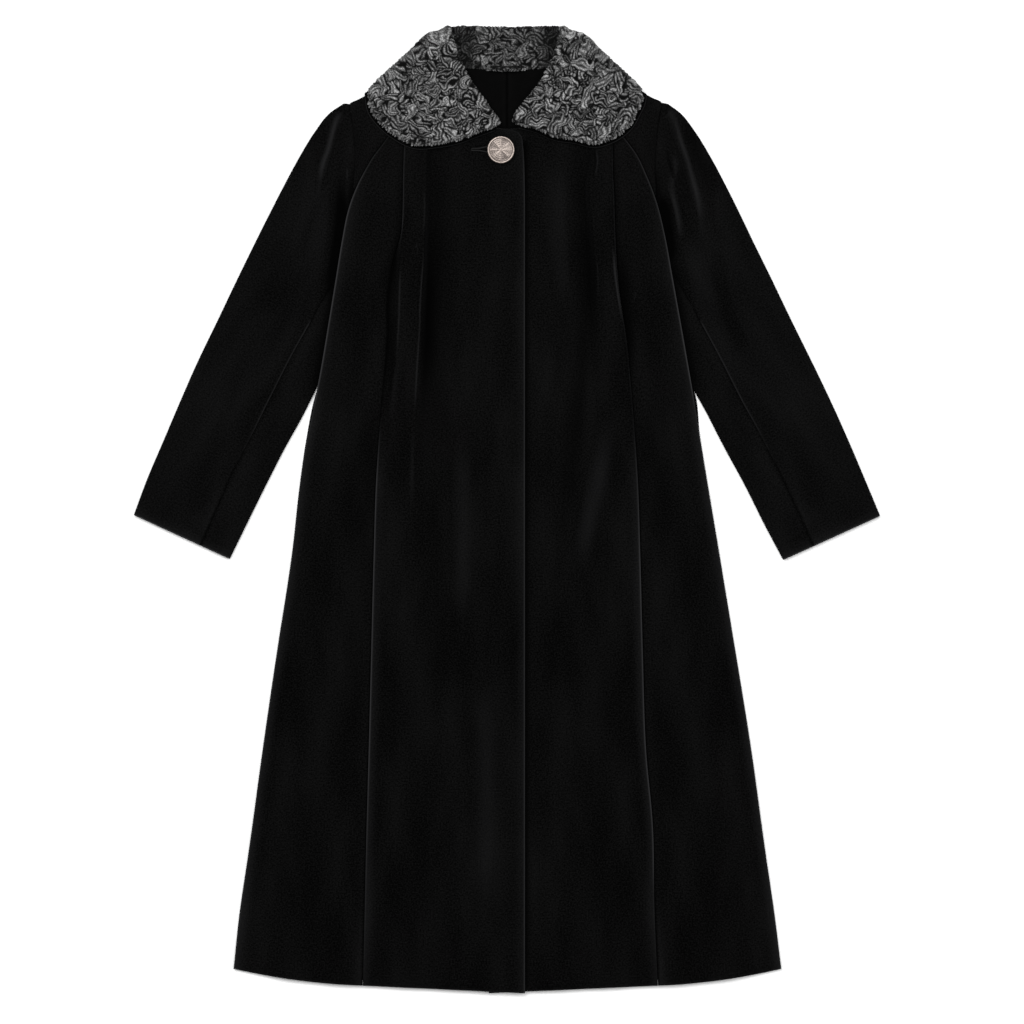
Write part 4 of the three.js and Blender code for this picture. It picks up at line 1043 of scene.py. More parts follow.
@dataclass(frozen=True)
class SleevePiece:
    """A piece of a flattened sleeve, from its front seam on top, round a fold, to its back seam."""

    pattern: SidePattern
    at_outer_fold: bool
    first_row: float
    top_step: float = 2.4
    under_step: float = 6.0
    arc_steps: int = 10

    @property
    def name(self) -> str:
        """The piece's name."""
        return f"{'top' if self.at_outer_fold else 'under'}_sleeve_{self.pattern.side.label}_velvet"

    def cut(self) -> Cut:
        """The flat cut: the piece's share of the width on top, and its share underneath."""
        p = self.pattern
        last = len(p.sleeve_outer.points) - 1
        rows = np.linspace(self.first_row, last, 300)
        covered = through(np.arange(last + 1), p.sleeve_seams, rows)
        covered = covered if self.at_outer_fold else 1 - covered
        outer, inner = p.sleeve_outer.at_row(rows), p.sleeve_inner.at_row(rows)
        return cut_between(outer, inner, covered.sum(-1))

    def air(self, row: Array, share: Array, width: Array, out: Array, y: Array) -> Array:
        """Air between the sleeve's layers: slight under the body's edge, full past it, with tucks.

        Args:
            row: fractional rows down the sleeve.
            share: share of the width from the outer fold.
            width: the flattened sleeve's width in mm.
            out: how far out each point lies.
            y: how high each point lies.

        Returns:
            The air in mm.
        """
        p = self.pattern
        ease = smooth((1 - share) * width / SLEEVE_EASE)
        tucked = lerp(SLEEVE_TUCK, SLEEVE_LOFT, smooth((row - 8) / 1.5))
        full = lerp(1.2, SLEEVE_LOFT, smooth(row / 3))
        folds = sum(c.height(out, y) for c in (*p.tucks, *SLEEVE_CREASES[p.side]))
        return np.maximum(lerp(tucked, full, ease) + ease * folds, 0.3)

    def build(self) -> Piece:
        """Makes the piece's closed shell.

        Across, its middle line runs over the top at one and a half cloths plus the air, round a
        half circle at the fold, and back along the floor. Its two faces stand half a cloth to
        either side, thinned to quarter rounds at the seams, the head and the cuff.

        Returns:
            The piece's object.
        """
        p = self.pattern
        last = len(p.sleeve_outer.points) - 1
        rough = np.linspace(self.first_row, last, 500)
        middle = (p.sleeve_outer.at_row(rough) + p.sleeve_inner.at_row(rough)) / 2
        travel = travelled(middle)
        along = shares(travel[-1], odd(travel[-1] / self.top_step))[0] * travel[-1]
        rows = np.interp(along, travel, rough)
        outer, inner = p.sleeve_outer.at_row(rows), p.sleeve_inner.at_row(rows)
        width = size_of(inner - outer)[:, None]
        seams = through(np.arange(last + 1), p.sleeve_seams, rows)
        fold_share = 0.0 if self.at_outer_fold else 1.0
        gap = GAP / 2 / width

        def seam_share(share: Array) -> Array:
            """The seam's share, drawn back by half a gap, or 1 at the armhole."""
            return np.where(share > 0.99, 1.0, share - np.sign(share - fold_share) * gap)

        front, back = seam_share(seams[:, :1]), seam_share(seams[:, 1:])
        row = rows[:, None]

        def point_at(share: Array) -> tuple[Array, Array]:
            """Out and y at a share of each row."""
            spot = outer[:, None] + (inner - outer)[:, None] * share[..., None]
            return spot[..., 0], spot[..., 1]

        air_at_fold = self.air(row, np.full_like(width, fold_share), width,
                               *point_at(np.full_like(width, fold_share)))
        radius = (CLOTH + air_at_fold) / 2
        inset = (radius + CLOTH / 2) / width
        fold_at = inset if self.at_outer_fold else 1 - inset
        outward = -1.0 if self.at_outer_fold else 1.0

        def near_seam(reach: Array, step: float) -> Array:
            """Shares from a seam to the fold, close together at the seam."""
            span = np.abs(reach) * width
            near = near_edge(span, 2)
            even = lerp(near[:, -1:], 1.0, np.linspace(0, 1, int(span.max() / step) + 2))
            return np.concatenate([near[:, :-1], even], 1)

        t_top = near_seam(fold_at - front, self.top_step)
        t_low = near_seam(fold_at - back, self.under_step)[:, ::-1]
        arc = np.linspace(0, math.pi, self.arc_steps + 1)[1:-1][None]
        if (t_top.shape[1] + t_low.shape[1] + arc.shape[1]) % 2 == 0:
            arc = np.linspace(0, math.pi, self.arc_steps + 2)[1:-1][None]
        top_share = lerp(front, fold_at, t_top)
        low_share = lerp(back, fold_at, t_low)
        arc_share = fold_at + outward * np.sin(arc) * radius / width
        share = np.concatenate([top_share, arc_share, low_share], 1)
        step_at_fold = air_at_fold - self.air(row, fold_at, width, *point_at(fold_at))
        top_air = self.air(row, top_share, width, *point_at(top_share))
        top_air = top_air + step_at_fold * smooth((t_top - 0.7) / 0.3)
        height = np.concatenate([
            CLOTH * 1.5 + top_air,
            CLOTH / 2 + radius + np.cos(arc) * radius,
            np.full(t_low.shape, CLOTH / 2),
        ], 1)
        sideways = np.concatenate([t_top * 0, outward * np.sin(arc) + width * 0, t_low * 0], 1)
        upward = np.concatenate([t_top * 0 + 1, np.cos(arc) + width * 0, t_low * 0 - 1], 1)
        far = np.full(arc_share.shape, FAR)
        top_run, low_run = (t * np.abs(fold_at - seam) * width
                            for t, seam in ((t_top, front), (t_low, back)))
        to_front = np.concatenate([top_run, far, t_low * 0 + FAR], 1)
        to_back = np.concatenate([t_top * 0 + FAR, far, low_run], 1)
        down = np.broadcast_to(along[:, None], share.shape)
        edges = (to_front, to_back, down, along[-1] - down)
        half = CLOTH / 2 - rolled(np.minimum.reduce(edges), CLOTH / 2)
        half = np.maximum(half, 0.06)
        lips = Rim(0.25 if self.at_outer_fold else -0.15, 2.6).height(to_front)
        lips = lips + Rim(0.35, 6).height(edges[3]) * (to_front < FAR)

        def face(offset: Array) -> Array:
            """Points at an offset from the middle line, along its normal."""
            out, y = point_at(share + sideways * offset / width)
            return np.stack([p.sign * out, y, height + upward * offset], -1)

        creases = (*p.tucks, *SLEEVE_CREASES[p.side])
        out, y = point_at(share)
        # Painted highlight on crests and painted shade in hollows of the creases, and the painted
        # lines.
        painted_shading = painted_shading_of(lambda a, b: sum(c.height(a, b) for c in creases), out, y)
        painted_shading = painted_shading + sum(line.height(out, y) for line in SLEEVE_PAINTED_SHADING[p.side])
        # Painted shadow of the body's edge, on the sleeve beside the armhole.
        past = np.maximum(out - p.outline.out_at(y), 0)
        painted_shading = painted_shading - 0.42 * bell(past, 9) * smooth((430 - y) / 60) * smooth((y - 120) / 40)
        # Painted highlight and shade along the front seam, and a painted highlight along the cuff.
        seam = Rim(sheen=SLEEVE_SEAM_PAINTED_SHADING if self.at_outer_fold else ((0, -0.14, 0),))
        painted_shading = painted_shading + seam.painted_shading_at(to_front, y) + Rim(sheen=((0, 0.4, 0.04),)).painted_shading_at(edges[3], y)
        # Only the top face keeps it, with a painted highlight where the cloth turns round the fold.
        painted_shading = 0.5 + np.where(upward > 0.2, painted_shading, 0) + 0.08 * bell(upward, 0.7)
        across = np.cumsum(np.abs(np.diff(share, axis=1, prepend=share[:, :1])) * width, axis=1)
        uv = np.stack([across, -down], -1)
        return shell(self.name, face(half + lips), face(-half), uv,
                     marks={"painted_shading": np.clip(painted_shading, 0, 1)})


# ---- Collar ------------------------------------------------------------------------------------


@dataclass
class CurlField:
    """Curled lamb pile: bent locks of parallel strands, one lying over another.

    It is made on a square raster that repeats. Each lock follows a centre line whose heading
    turns along it. A place takes the height of the last lock laid over it: crests of a cosine
    beside the centre line, which drop away at the lock's own edge and leave the partings. The
    pile's colour paints these low places dark, partly as the roots' own dark, partly as painted
    shade.
    """

    seed: int = 11
    size: int = 768
    step: float = 0.5
    layers: int = 4
    side: int = 29  # locks along one side of a layer
    pitch: float = 4.0  # one strand beside the next
    shortest: float = 9.0
    longest: float = 22.0
    swirl: float = 26.0
    raster: Array = field(init=False)

    def __post_init__(self) -> None:
        """Lays the locks, then bends the raster a little and softens it."""
        self.rng = np.random.default_rng(self.seed)
        self.raster = np.full((self.size, self.size), 0.25)
        turn = 0.5 * np.arctan2(self.noise(self.swirl), self.noise(self.swirl))
        span = self.size * self.step
        for _ in range(self.layers):
            line = np.arange(self.side)
            cell = np.stack(np.meshgrid(line, line), -1).reshape(-1, 2)
            places = (cell + self.rng.uniform(0, 1, cell.shape)) * span / self.side
            self.rng.shuffle(places)
            for place in places:
                column, row = (place / self.step).astype(int) % self.size
                self.lay(place, turn[row, column])
        line = np.arange(self.size) * self.step
        a, b = np.meshgrid(line, line)
        bent = self.read(a + 1.3 * self.noise(15.0), b + 1.3 * self.noise(15.0))
        soft = np.exp(-2 * (math.pi * 0.35 * self.wave_numbers()) ** 2)
        lumps = 1 + 0.09 * self.noise(20.0)
        self.raster = np.clip(np.fft.ifft2(np.fft.fft2(bent) * soft).real * lumps, 0, 1)

    def wave_numbers(self) -> Array:
        """How many waves to a mm each place of the raster's spectrum stands for."""
        line = np.fft.fftfreq(self.size, self.step)
        return np.hypot(*np.meshgrid(line, line))

    def noise(self, wave: float) -> Array:
        """Noise of about one wavelength in mm, with a spread of 1."""
        spectrum = np.fft.fft2(self.rng.standard_normal((self.size, self.size)))
        band = np.exp(-(((self.wave_numbers() * wave - 1) / 0.5) ** 2))
        made = np.fft.ifft2(spectrum * band).real
        return made / made.std()

    def lay(self, place: Array, turn: float) -> None:
        """Lays one lock.

        Args:
            place: its middle in mm.
            turn: the heading of the locks about it.
        """
        rng = self.rng
        strands = rng.choice(4, p=(0.2, 0.4, 0.28, 0.12)) + 1
        pitch = self.pitch * rng.uniform(0.85, 1.15)
        half = strands * pitch / 2
        length = rng.uniform(self.shortest, self.longest) * (0.7 + 0.15 * strands)
        s = np.linspace(-0.5, 0.5, int(length / 1.2) + 6) * length
        head = turn + rng.normal(0, 0.55) + rng.normal(0, 0.1) * s + rng.normal(0, 0.008) * s**2
        line = np.cumsum(np.stack([np.cos(head), np.sin(head)], -1), 0) * (s[1] - s[0])
        line = line - line.mean(0) + place
        low = np.floor((line.min(0) - half) / self.step).astype(int)
        high = np.ceil((line.max(0) + half) / self.step).astype(int)
        spot = np.stack(np.meshgrid(*(np.arange(i, j + 1) for i, j in zip(low, high))), -1)
        gap = spot[:, :, None] * self.step - line
        near = (gap**2).sum(-1).argmin(-1)
        gap = np.take_along_axis(gap, near[..., None, None], 2)[:, :, 0]
        along = gap[..., 0] * np.cos(head[near]) + gap[..., 1] * np.sin(head[near])
        beside = gap[..., 1] * np.cos(head[near]) - gap[..., 0] * np.sin(head[near])
        past = np.where((near == 0) | (near == len(s) - 1), along, 0.0)
        room = half - np.hypot(beside, past)
        crest = np.cos(2 * math.pi * (beside / pitch + 0.5 * (strands + 1)))
        edge = rng.uniform(1.3, 2.2)
        level = 0.46 + rng.uniform(-0.06, 0.14) + rng.uniform(0.2, 0.34) * crest
        column, row = spot[..., 0] % self.size, spot[..., 1] % self.size
        before = self.raster[row, column]
        self.raster[row, column] = np.where(room > 0, smooth(room / edge) * level, before)

    def read(self, a: Array, b: Array) -> Array:
        """The raster at cloth coordinates in mm, mixed straight between its four nearest points."""
        u, v = a / self.step, b / self.step
        i, j = np.floor(u).astype(int), np.floor(v).astype(int)
        s, t = u - i, v - j
        i, j = i % self.size, j % self.size
        i1, j1 = (i + 1) % self.size, (j + 1) % self.size
        near = lerp(self.raster[j, i], self.raster[j, i1], s)
        return lerp(near, lerp(self.raster[j1, i], self.raster[j1, i1], s), t)

    def relief(self, a: Array, b: Array, edge: Array | float = FAR) -> Array:
        """Pile height from 0 to 1; near a free edge the strands run across it."""
        lean = a + 9 * self.read(a / 3, b / 3 + 50)
        across = 0.44 + 0.26 * np.cos(2 * math.pi * lean / self.pitch)
        return lerp(across, self.read(a, b), 0.35 + 0.65 * smooth((edge - 1) / 5))


def normals_of(points: Array) -> Array:
    """Unit normals of a grid: the cross product of its two directions' slopes."""
    across = np.gradient(points, axis=1)
    down = np.gradient(points, axis=0)
    normal = np.cross(down, across)
    return normal / np.maximum(np.linalg.norm(normal, axis=-1, keepdims=True), 1e-9)


@dataclass(frozen=True)
class CollarPiece:
    """A collar cloth: up its stand, round its roll and out over its fall to a free edge.

    Each row is a section with a station from 0 at the neck seam to 1 at the roll's foot, 2 past
    the roll and 3 at the free edge.
    """

    name: str
    is_pile: bool
    rows: Array
    curls: CurlField | None = None
    origin: tuple[float, float] = (0.0, 0.0)
    steps: tuple[int, int, int] = (24, 16, 138)  # over the stand, the roll and the fall
    curl_height: float = 2.3

    @property
    def thickness(self) -> float:
        """The cloth's thickness with its pile."""
        return PILE if self.is_pile else UNDER_CLOTH

    @property
    def fold(self) -> float:
        """Radius of its middle line round the roll."""
        return COLLAR_FOLD if self.is_pile else UNDER_FOLD

    def stations(self, stand: Array, fall: Array) -> Array:
        """Stations of each row, close together in mm at the neck seam and the free edge."""
        stand_steps, roll_steps, fall_steps = self.steps
        near_s, near_f = near_edge(stand, 2), near_edge(fall, 2)
        up = lerp(near_s[:, -1:], 1.0, np.linspace(0, 1, stand_steps))
        over = lerp(0.0, 1.0, np.linspace(0, 1, roll_steps + 1)[1:-1]) + np.ones_like(stand)
        out = lerp(0.0, 1 - near_f[:, -1:], np.linspace(0, 1, fall_steps)) + 2
        made = [near_s[:, :-1], up, over, out, 3 - near_f[:, -2::-1]]
        if sum(part.shape[1] for part in made) % 2 == 0:
            made[2] = lerp(0.0, 1.0, np.linspace(0, 1, roll_steps + 2)[1:-1]) + np.ones_like(stand)
        return np.concatenate(made, 1)

    def section(self, station: Array, neck: Array, centre: Array, edge: Array, away: Array,
                turn: float, stand_at: Height, fall_at: Callable) -> tuple[Array, Array, Array]:
        """Middle points of the cloth, their normals in the section, and the run from the roll.

        On the stand a point goes straight from the neck to the roll's centre at the stand's
        height. Round the roll it follows a half circle. On the fall it goes straight to the edge
        at the fall's height.

        Args:
            station: stations, rows by columns.
            neck: neck seam points, one for each row.
            centre: the roll's centre points.
            edge: the free edge's points.
            away: unit vectors from the edge to the roll.
            turn: 1 where the fall lies above the stand, -1 where below.
            stand_at: the stand's height at points.
            fall_at: the fall's height at points, given the distance from the roll's centre too.

        Returns:
            Points with out, y and z, normals with a part along away and one up, and the run in mm.
        """
        s = np.clip(station, 0, 1)[..., None]
        f = np.clip(station - 2, 0, 1)[..., None]
        angle = np.clip(station - 1, 0, 1) * math.pi
        on_stand, on_fall = station <= 1, station >= 2
        up = neck[:, None] + (centre - neck)[:, None] * s
        out = centre[:, None] + (edge - centre)[:, None] * f
        far = size_of(out - centre[:, None])
        fold = self.fold
        middle = (stand_at(centre[:, None]) + fall_at(centre[:, None], 0.0)) / 2
        side = np.where(on_stand | on_fall, 0.0, np.sin(angle))
        rise = np.where(on_stand, -turn, np.where(on_fall, turn, -turn * np.cos(angle)))
        turned = centre[:, None] + away[:, None] * (side * fold)[..., None]
        flat = np.where(on_stand[..., None], up, np.where(on_fall[..., None], out, turned))
        height = np.where(on_fall, fall_at(out, far), middle + rise * fold)
        height = np.where(on_stand, stand_at(up), height)
        stand_far = size_of(up - centre[:, None])
        run = np.where(on_stand, fold * math.pi + stand_far,
                       np.where(on_fall, -far, fold * (math.pi - angle)))
        points = np.concatenate([flat, height[..., None]], -1)
        return points, np.stack([side, rise], -1), run

    def dress(self, points: Array, tilt: Array, away: Array, run: Array, anchor: Array,
              edges: tuple[Array, ...], sign: float, shade: Array) -> Piece:
        """Gives the middle surface its two faces, the pile its curls, and makes the shell.

        Args:
            points: middle points.
            tilt: normals in the section.
            away: unit vectors from the edge to the roll, one for each row.
            run: run from the roll in mm.
            anchor: flat points at the roll's centre, one for each row.
            edges: distances to the four edges in mm.
            sign: -1 to mirror the piece along X.
            shade: painted shade on the pile, from 0 to 0.5.

        Returns:
            The piece's object.
        """
        t = self.thickness
        half = np.maximum(t / 2 - rolled(np.minimum.reduce(edges), t / 2), 0.07)
        normal = np.concatenate([away[:, None] * tilt[..., :1], tilt[..., 1:]], -1)
        cloth = anchor[:, None] + away[:, None] * run[..., None]
        a, b = cloth[..., 0] + self.origin[0], cloth[..., 1] + self.origin[1]
        mirror = np.array([sign, 1.0, 1.0])
        if not self.is_pile:
            # Painted shade over the whole under collar, and a painted highlight along its free
            # edge.
            return shell(self.name, (points + normal * half[..., None]) * mirror,
                         (points - normal * half[..., None]) * mirror, np.stack([a, b], -1),
                         marks={"painted_shading": 0.08 + 0.6 * bell(edges[1] - 0.4, 1.0)})
        bare = half - np.minimum(0.55 * self.curl_height, half * 0.8)
        outer = points + normal * bare[..., None]
        relief = self.curls.relief(a, b, edges[1])
        face = normals_of(outer)
        face = face * np.sign((face * normal).sum(-1).mean())
        outer = outer + face * (relief * self.curl_height)[..., None]
        ragged = 5 * (relief - 0.45) * (1 - smooth(edges[1] / 7))
        outer[..., :2] -= away[:, None] * ragged[..., None]
        outer[..., 2] = np.maximum(outer[..., 2], 0.02)
        return shell(self.name, outer * mirror, (points - normal * half[..., None]) * mirror,
                     np.stack([a, b], -1), marks={"curl": relief, "painted_shading": 0.5 - shade})


def collar_name(place: str, is_pile: bool) -> str:
    """The name of a collar's pile or under collar at a place."""
    return f"upper_collar_{place}_pile" if is_pile else f"under_collar_{place}_velvet"


def lobe_piece(p: SidePattern, is_pile: bool, curls: CurlField | None) -> Piece:
    """A front lobe of the collar, which lies over the shoulder and the fronts.

    Args:
        p: the side's pattern.
        is_pile: whether it is the pile or the under collar.
        curls: the pile's curls.

    Returns:
        The lobe's object.
    """
    last = 10.0 if is_pile else 9.0
    rough = np.linspace(0, last, 400)
    travel = travelled(p.lobe_edge.at_row(rough))
    step = 0.76 if is_pile else 3.0
    along = shares(travel[-1], odd(travel[-1] / step))[0] * travel[-1]
    rows = np.interp(along, travel, rough)
    roll, edge = p.lobe_roll.at_row(rows), p.lobe_edge.at_row(rows)
    stand = through(np.arange(len(p.lobe_stand)), p.lobe_stand, rows)[:, None]
    length = size_of(edge - roll)[:, None]
    toward = (edge - roll) / length
    inset = COLLAR_FOLD + PILE / 2
    piece = CollarPiece(
        name=collar_name(p.side.label, is_pile), is_pile=is_pile, rows=rows, curls=curls,
        origin=(0.0, 0.0) if p.side is Side.RIGHT else (211.0, 137.0),
        steps=(24, 16, 138) if is_pile else (6, 6, 34),
    )
    roll = roll + toward * (5 * smooth((rows - 9.5) / 0.5)[:, None] ** 2)
    neck, centre = roll + toward * stand, roll + toward * inset
    ahead = np.gradient(edge, axis=0)
    outward = np.stack([ahead[:, 1], -ahead[:, 0]], -1) / size_of(ahead)[:, None]
    free = edge if is_pile else edge + outward * UNDER_PEEK
    fall = size_of(free - centre)[:, None]
    up = np.maximum(size_of(neck - centre)[:, None], 0.5)
    station = piece.stations(up, fall)
    over = np.clip((rows - 9.3) / 0.7, 0, 1)[:, None] ** 2

    def level(spot: Array) -> Array:
        """The middle of the stand's two cloths."""
        return neck_floor(p.sign * spot[..., 0], spot[..., 1]) + PILE + GAP + UNDER_CLOTH + GAP / 2

    def fall_at(spot: Array, far: Array | float) -> Array:
        """The fall: on its own stand, then down to the body or over the shoulder to the floor."""
        past = smooth((far + inset - stand) / STAND_EASE)
        on_body = collar_rest(p, spot[..., 0], spot[..., 1])
        rest = lerp(level(spot) + GAP / 2, on_body, past)
        rest = np.where(past > 0, np.maximum(rest, on_body), rest)
        low = lerp(rest, GAP, over * past if is_pile else 0.0)
        if is_pile:
            return low + UNDER_CLOTH * (1 - over * past) + GAP + PILE / 2
        return low + UNDER_CLOTH / 2

    points, tilt, run = piece.section(station, neck, centre, free, -toward, 1.0,
                                      lambda spot: level(spot) - piece.fold, fall_at)
    if is_pile:
        share = np.clip(station - 2, 0, 1)
        bulge = BULGE * smooth(share / 0.2) * (1 - share) ** 0.6
        bulge = bulge * smooth((rows - 8.4) / 1.6)[:, None]
        points[..., :2] += np.array(BULGE_HEADING) * bulge[..., None]
    down = np.broadcast_to(along[:, None], station.shape)
    to_neck = np.clip(station, 0, 1) * up + (station > 1) * FAR
    edges = (to_neck, (3 - station) * fall, down, along[-1] - down)
    # Painted shade on the stand and at the roll.
    shade = 0.22 * (station < 1.5) + 0.1 * bell(station - 1.5, 0.35)
    return piece.dress(points, tilt, -toward, run, centre, edges, p.sign, shade)


def lobe_cut(p: SidePattern, is_pile: bool) -> Cut:
    """A lobe's flat cut: its stand, its fall, and the under collar's peek below the pile."""
    rows = np.linspace(0, 10 if is_pile else 9, 300)
    stand = through(np.arange(len(p.lobe_stand)), p.lobe_stand, rows)
    more = stand if is_pile else stand + UNDER_PEEK
    return cut_between(p.lobe_roll.at_row(rows), p.lobe_edge.at_row(rows), more=more)


def back_collar_cut() -> Cut:
    """The back collar's flat cut: its stand and its fall, over both halves."""
    rows = np.linspace(0, len(BACK_NECK.points) - 1, 200)
    neck, roll, edge = (line.at_row(rows) for line in (BACK_NECK, BACK_ROLL, BACK_EDGE))
    half = cut_between(roll, edge, more=size_of(roll - neck))
    return Cut(2 * half.length, half.width, 2 * half.area)


def back_collar_piece(is_pile: bool, curls: CurlField | None) -> Piece:
    """The collar behind the neck: its stand shows inside, and its fall lies on the floor.

    Args:
        is_pile: whether it is the pile or the under collar.
        curls: the pile's curls.

    Returns:
        The piece's object.
    """
    last = len(BACK_NECK.points) - 1
    widest = 2 * BACK_EDGE.points[-1][0]
    rows = lerp(-last, last, shares(widest, odd(widest / (1.1 if is_pile else 4.0)))[0])
    size, flip = np.abs(rows), np.sign(rows)[:, None] * np.array([1.0, 0.0]) + np.array([0.0, 1.0])
    neck, roll, edge = (line.at_row(size) * flip for line in (BACK_NECK, BACK_ROLL, BACK_EDGE))
    centre = roll - np.array([0.0, COLLAR_FOLD + PILE / 2])
    piece = CollarPiece(name=collar_name("back", is_pile), is_pile=is_pile, rows=rows,
                        curls=curls, origin=(97.0, 251.0),
                        steps=(54, 18, 50) if is_pile else (8, 6, 16))
    level = PILE + GAP + UNDER_CLOTH + GAP / 2
    up = size_of(neck - centre)[:, None]
    fall = size_of(edge - centre)[:, None]
    station = piece.stations(up, fall)
    away = np.tile(np.array([0.0, 1.0]), (len(rows), 1))
    points, tilt, run = piece.section(
        station, neck, centre, edge, away, -1.0,
        lambda spot: np.full(spot.shape[:-1], level + piece.fold),
        lambda spot, far: np.full(spot.shape[:-1], level - piece.fold),
    )
    side = np.minimum(rows + last, last - rows)[:, None] * widest / (2 * last)
    side = np.broadcast_to(side, station.shape)
    to_neck = np.clip(station, 0, 1) * up + (station > 1) * FAR
    edges = (to_neck, (3 - station) * fall, side)
    # Painted shade over the whole back collar, and more on its stand beside each lobe's roll, where
    # the lobes cast shadow.
    painted_shadow_beside_roll = bell(np.maximum(0, 47 - np.abs(points[..., 0])), 9)
    shade = 0.2 + 0.22 * painted_shadow_beside_roll * (station < 1.8)
    return piece.dress(points, tilt, away, run, centre, edges, 1.0, shade)


# ---- Inside the neck ---------------------------------------------------------------------------

LINING_OUT = (82, 84, 80, 66, 46, 28)
LOOP_ENDS = (-26.5, 23.0)
LOOP_LOW, LOOP_HIGH = 524.0, 531.0
LOOP_THICK = 1.6
LOOP_RISE = 2.6


@dataclass(frozen=True)
class NeckInside:
    """The lining inside the neck, with its centre seam, and the hanger loop above it."""

    step: float = 2.0

    def lining_cut(self) -> Cut:
        """The flat cut of the lining that shows, between its two sides."""
        out, y = np.array(LINING_OUT, float), np.array(BACK_CENTRE[:len(LINING_OUT)], float)
        return cut_between(np.stack([-out, y], -1), np.stack([out, y], -1))

    def loop_cut(self) -> Cut:
        """The flat cut of one face of the hanger loop's band."""
        width, length = LOOP_HIGH - LOOP_LOW, LOOP_ENDS[1] - LOOP_ENDS[0]
        return Cut(width, length, width * length)

    def lining(self) -> Piece:
        """Makes the lining: its back rows moved up, with a narrow trough down the centre seam.

        Returns:
            The lining's object.
        """
        rows = lerp(0.0, len(LINING_OUT) - 1, shares(69.0, odd(69 / self.step))[0])
        numbers = np.arange(len(LINING_OUT))
        half = through(numbers, LINING_OUT, rows)[:, None]
        share = 2 * shares(2 * half[:, 0], odd(150 / self.step)) - 1
        x = share * half
        centre, blade = (np.interp(rows, numbers, line[:len(numbers)])[:, None]
                         for line in (BACK_CENTRE, BACK_BLADE))
        blade_out = lerp(BLADE_NECK, BLADE_HEM, rows[:, None] / (len(BACK_CENTRE) - 1))
        y = lerp(centre, blade, np.abs(x) / blade_out)
        low = neck_lift(x, y) + CLOTH + GAP
        down = np.broadcast_to(rows[:, None] * 14, x.shape)
        far = np.minimum.reduce(((1 - np.abs(share)) * half, down, 69 - down))
        drop = rolled(far, LINING / 2)
        seam = -0.55 * bell(x, 1.0) + 0.35 * bell(np.abs(x) - 3.2, 2.4)
        ease = 0.3 * np.sin(y / 9 + x / 17) * smooth(far / 8)
        top = np.maximum(low + LINING - drop + seam + ease * 0.5, low + drop + LEAST_CLOTH)
        outer = np.stack([x, y, top], -1)
        # Painted shade down the centre seam's trough, and a painted highlight on the ridges to
        # either side.
        painted_shading = 0.5 - 0.45 * bell(x, 1.1) + 0.12 * bell(np.abs(x) - 3.5, 2.5)
        return shell("back_lining_satin", outer, np.stack([x, y, low + drop], -1), outer[..., :2],
                     marks={"painted_shading": painted_shading})

    def loop(self, curls: CurlField) -> Piece:
        """Makes the hanger loop: a flat band, an oval carried along a low arch, with curls.

        Args:
            curls: the pile's curls.

        Returns:
            The loop's object.
        """
        along = np.linspace(0, 1, 81)[:, None]
        turn = np.linspace(0, 2 * math.pi, 33)[None]
        x = lerp(*LOOP_ENDS, along)
        middle = (LOOP_LOW + LOOP_HIGH) / 2 - 1.2 * np.sin(math.pi * along)
        floor = 2 * (PILE + UNDER_CLOTH + GAP) + 2 * GAP + LOOP_THICK / 2
        rise = LOOP_RISE * np.sin(math.pi * along)
        relief = curls.relief(x + 31 + 0 * turn, 40 * np.cos(turn) / 6 + 0 * x)
        wide = (LOOP_HIGH - LOOP_LOW) / 2 - 0.3 + 0.5 * relief
        thick = LOOP_THICK / 2 + 0.5 * relief
        close = np.sqrt(np.clip(np.minimum(along, 1 - along) / 0.02, 0.01, 1))
        points = np.stack([x + 0 * turn, middle + wide * np.cos(turn) * close,
                           floor + rise + thick * np.sin(turn) * close], -1)
        # Painted shade: the whole band a little darker, darkest along its neck side away from its
        # ends.
        away = smooth((np.minimum(along, 1 - along) - 0.1) / 0.1)
        slit = 0.4 - 0.4 * bell(np.cos(turn) - 0.6, 0.5) * away
        return tube("hanger_loop_pile", points, {"curl": relief, "painted_shading": slit})


def tube(name: str, points: Array, marks: dict[str, Array] | None = None) -> Piece:
    """Makes a closed tube from rings of points whose last point repeats the first.

    Args:
        name: the object's name.
        points: rings by points by 3, in mm.
        marks: values from 0 to 1 for each point, kept as attributes of these names.

    Returns:
        The tube's object, with a flat cap at each end, turned outwards.
    """
    rings, around = points.shape[0], points.shape[1] - 1
    at = np.arange(rings * around).reshape(rings, around)
    ahead = np.roll(at, -1, axis=1)
    quads = np.stack([at[:-1], at[1:], ahead[1:], ahead[:-1]], -1).reshape(-1, 4)
    flat = points[:, :-1].reshape(-1, 3)
    a, b, c, d = (flat[quads[:, i]] for i in range(4))
    volume = np.einsum("ij,ij->", a, np.cross(b, c)) + np.einsum("ij,ij->", a, np.cross(c, d))
    faces = quads.tolist() + [at[0].tolist(), at[-1][::-1].tolist()]
    if volume < 0:
        faces = [face[::-1] for face in faces]
    mesh = bpy.data.meshes.new(name)
    mesh.from_pydata(flat * MM, [], faces)
    mesh.shade_smooth()
    for mark, values in (marks or {}).items():
        layer = mesh.attributes.new(mark, "FLOAT", "POINT")
        layer.data.foreach_set("value", values[:, :-1].ravel().astype(np.float32))
    mesh.validate()
    made = bpy.data.objects.new(name, mesh)
    bpy.context.scene.collection.objects.link(made)
    return made


# ---- Closure -----------------------------------------------------------------------------------


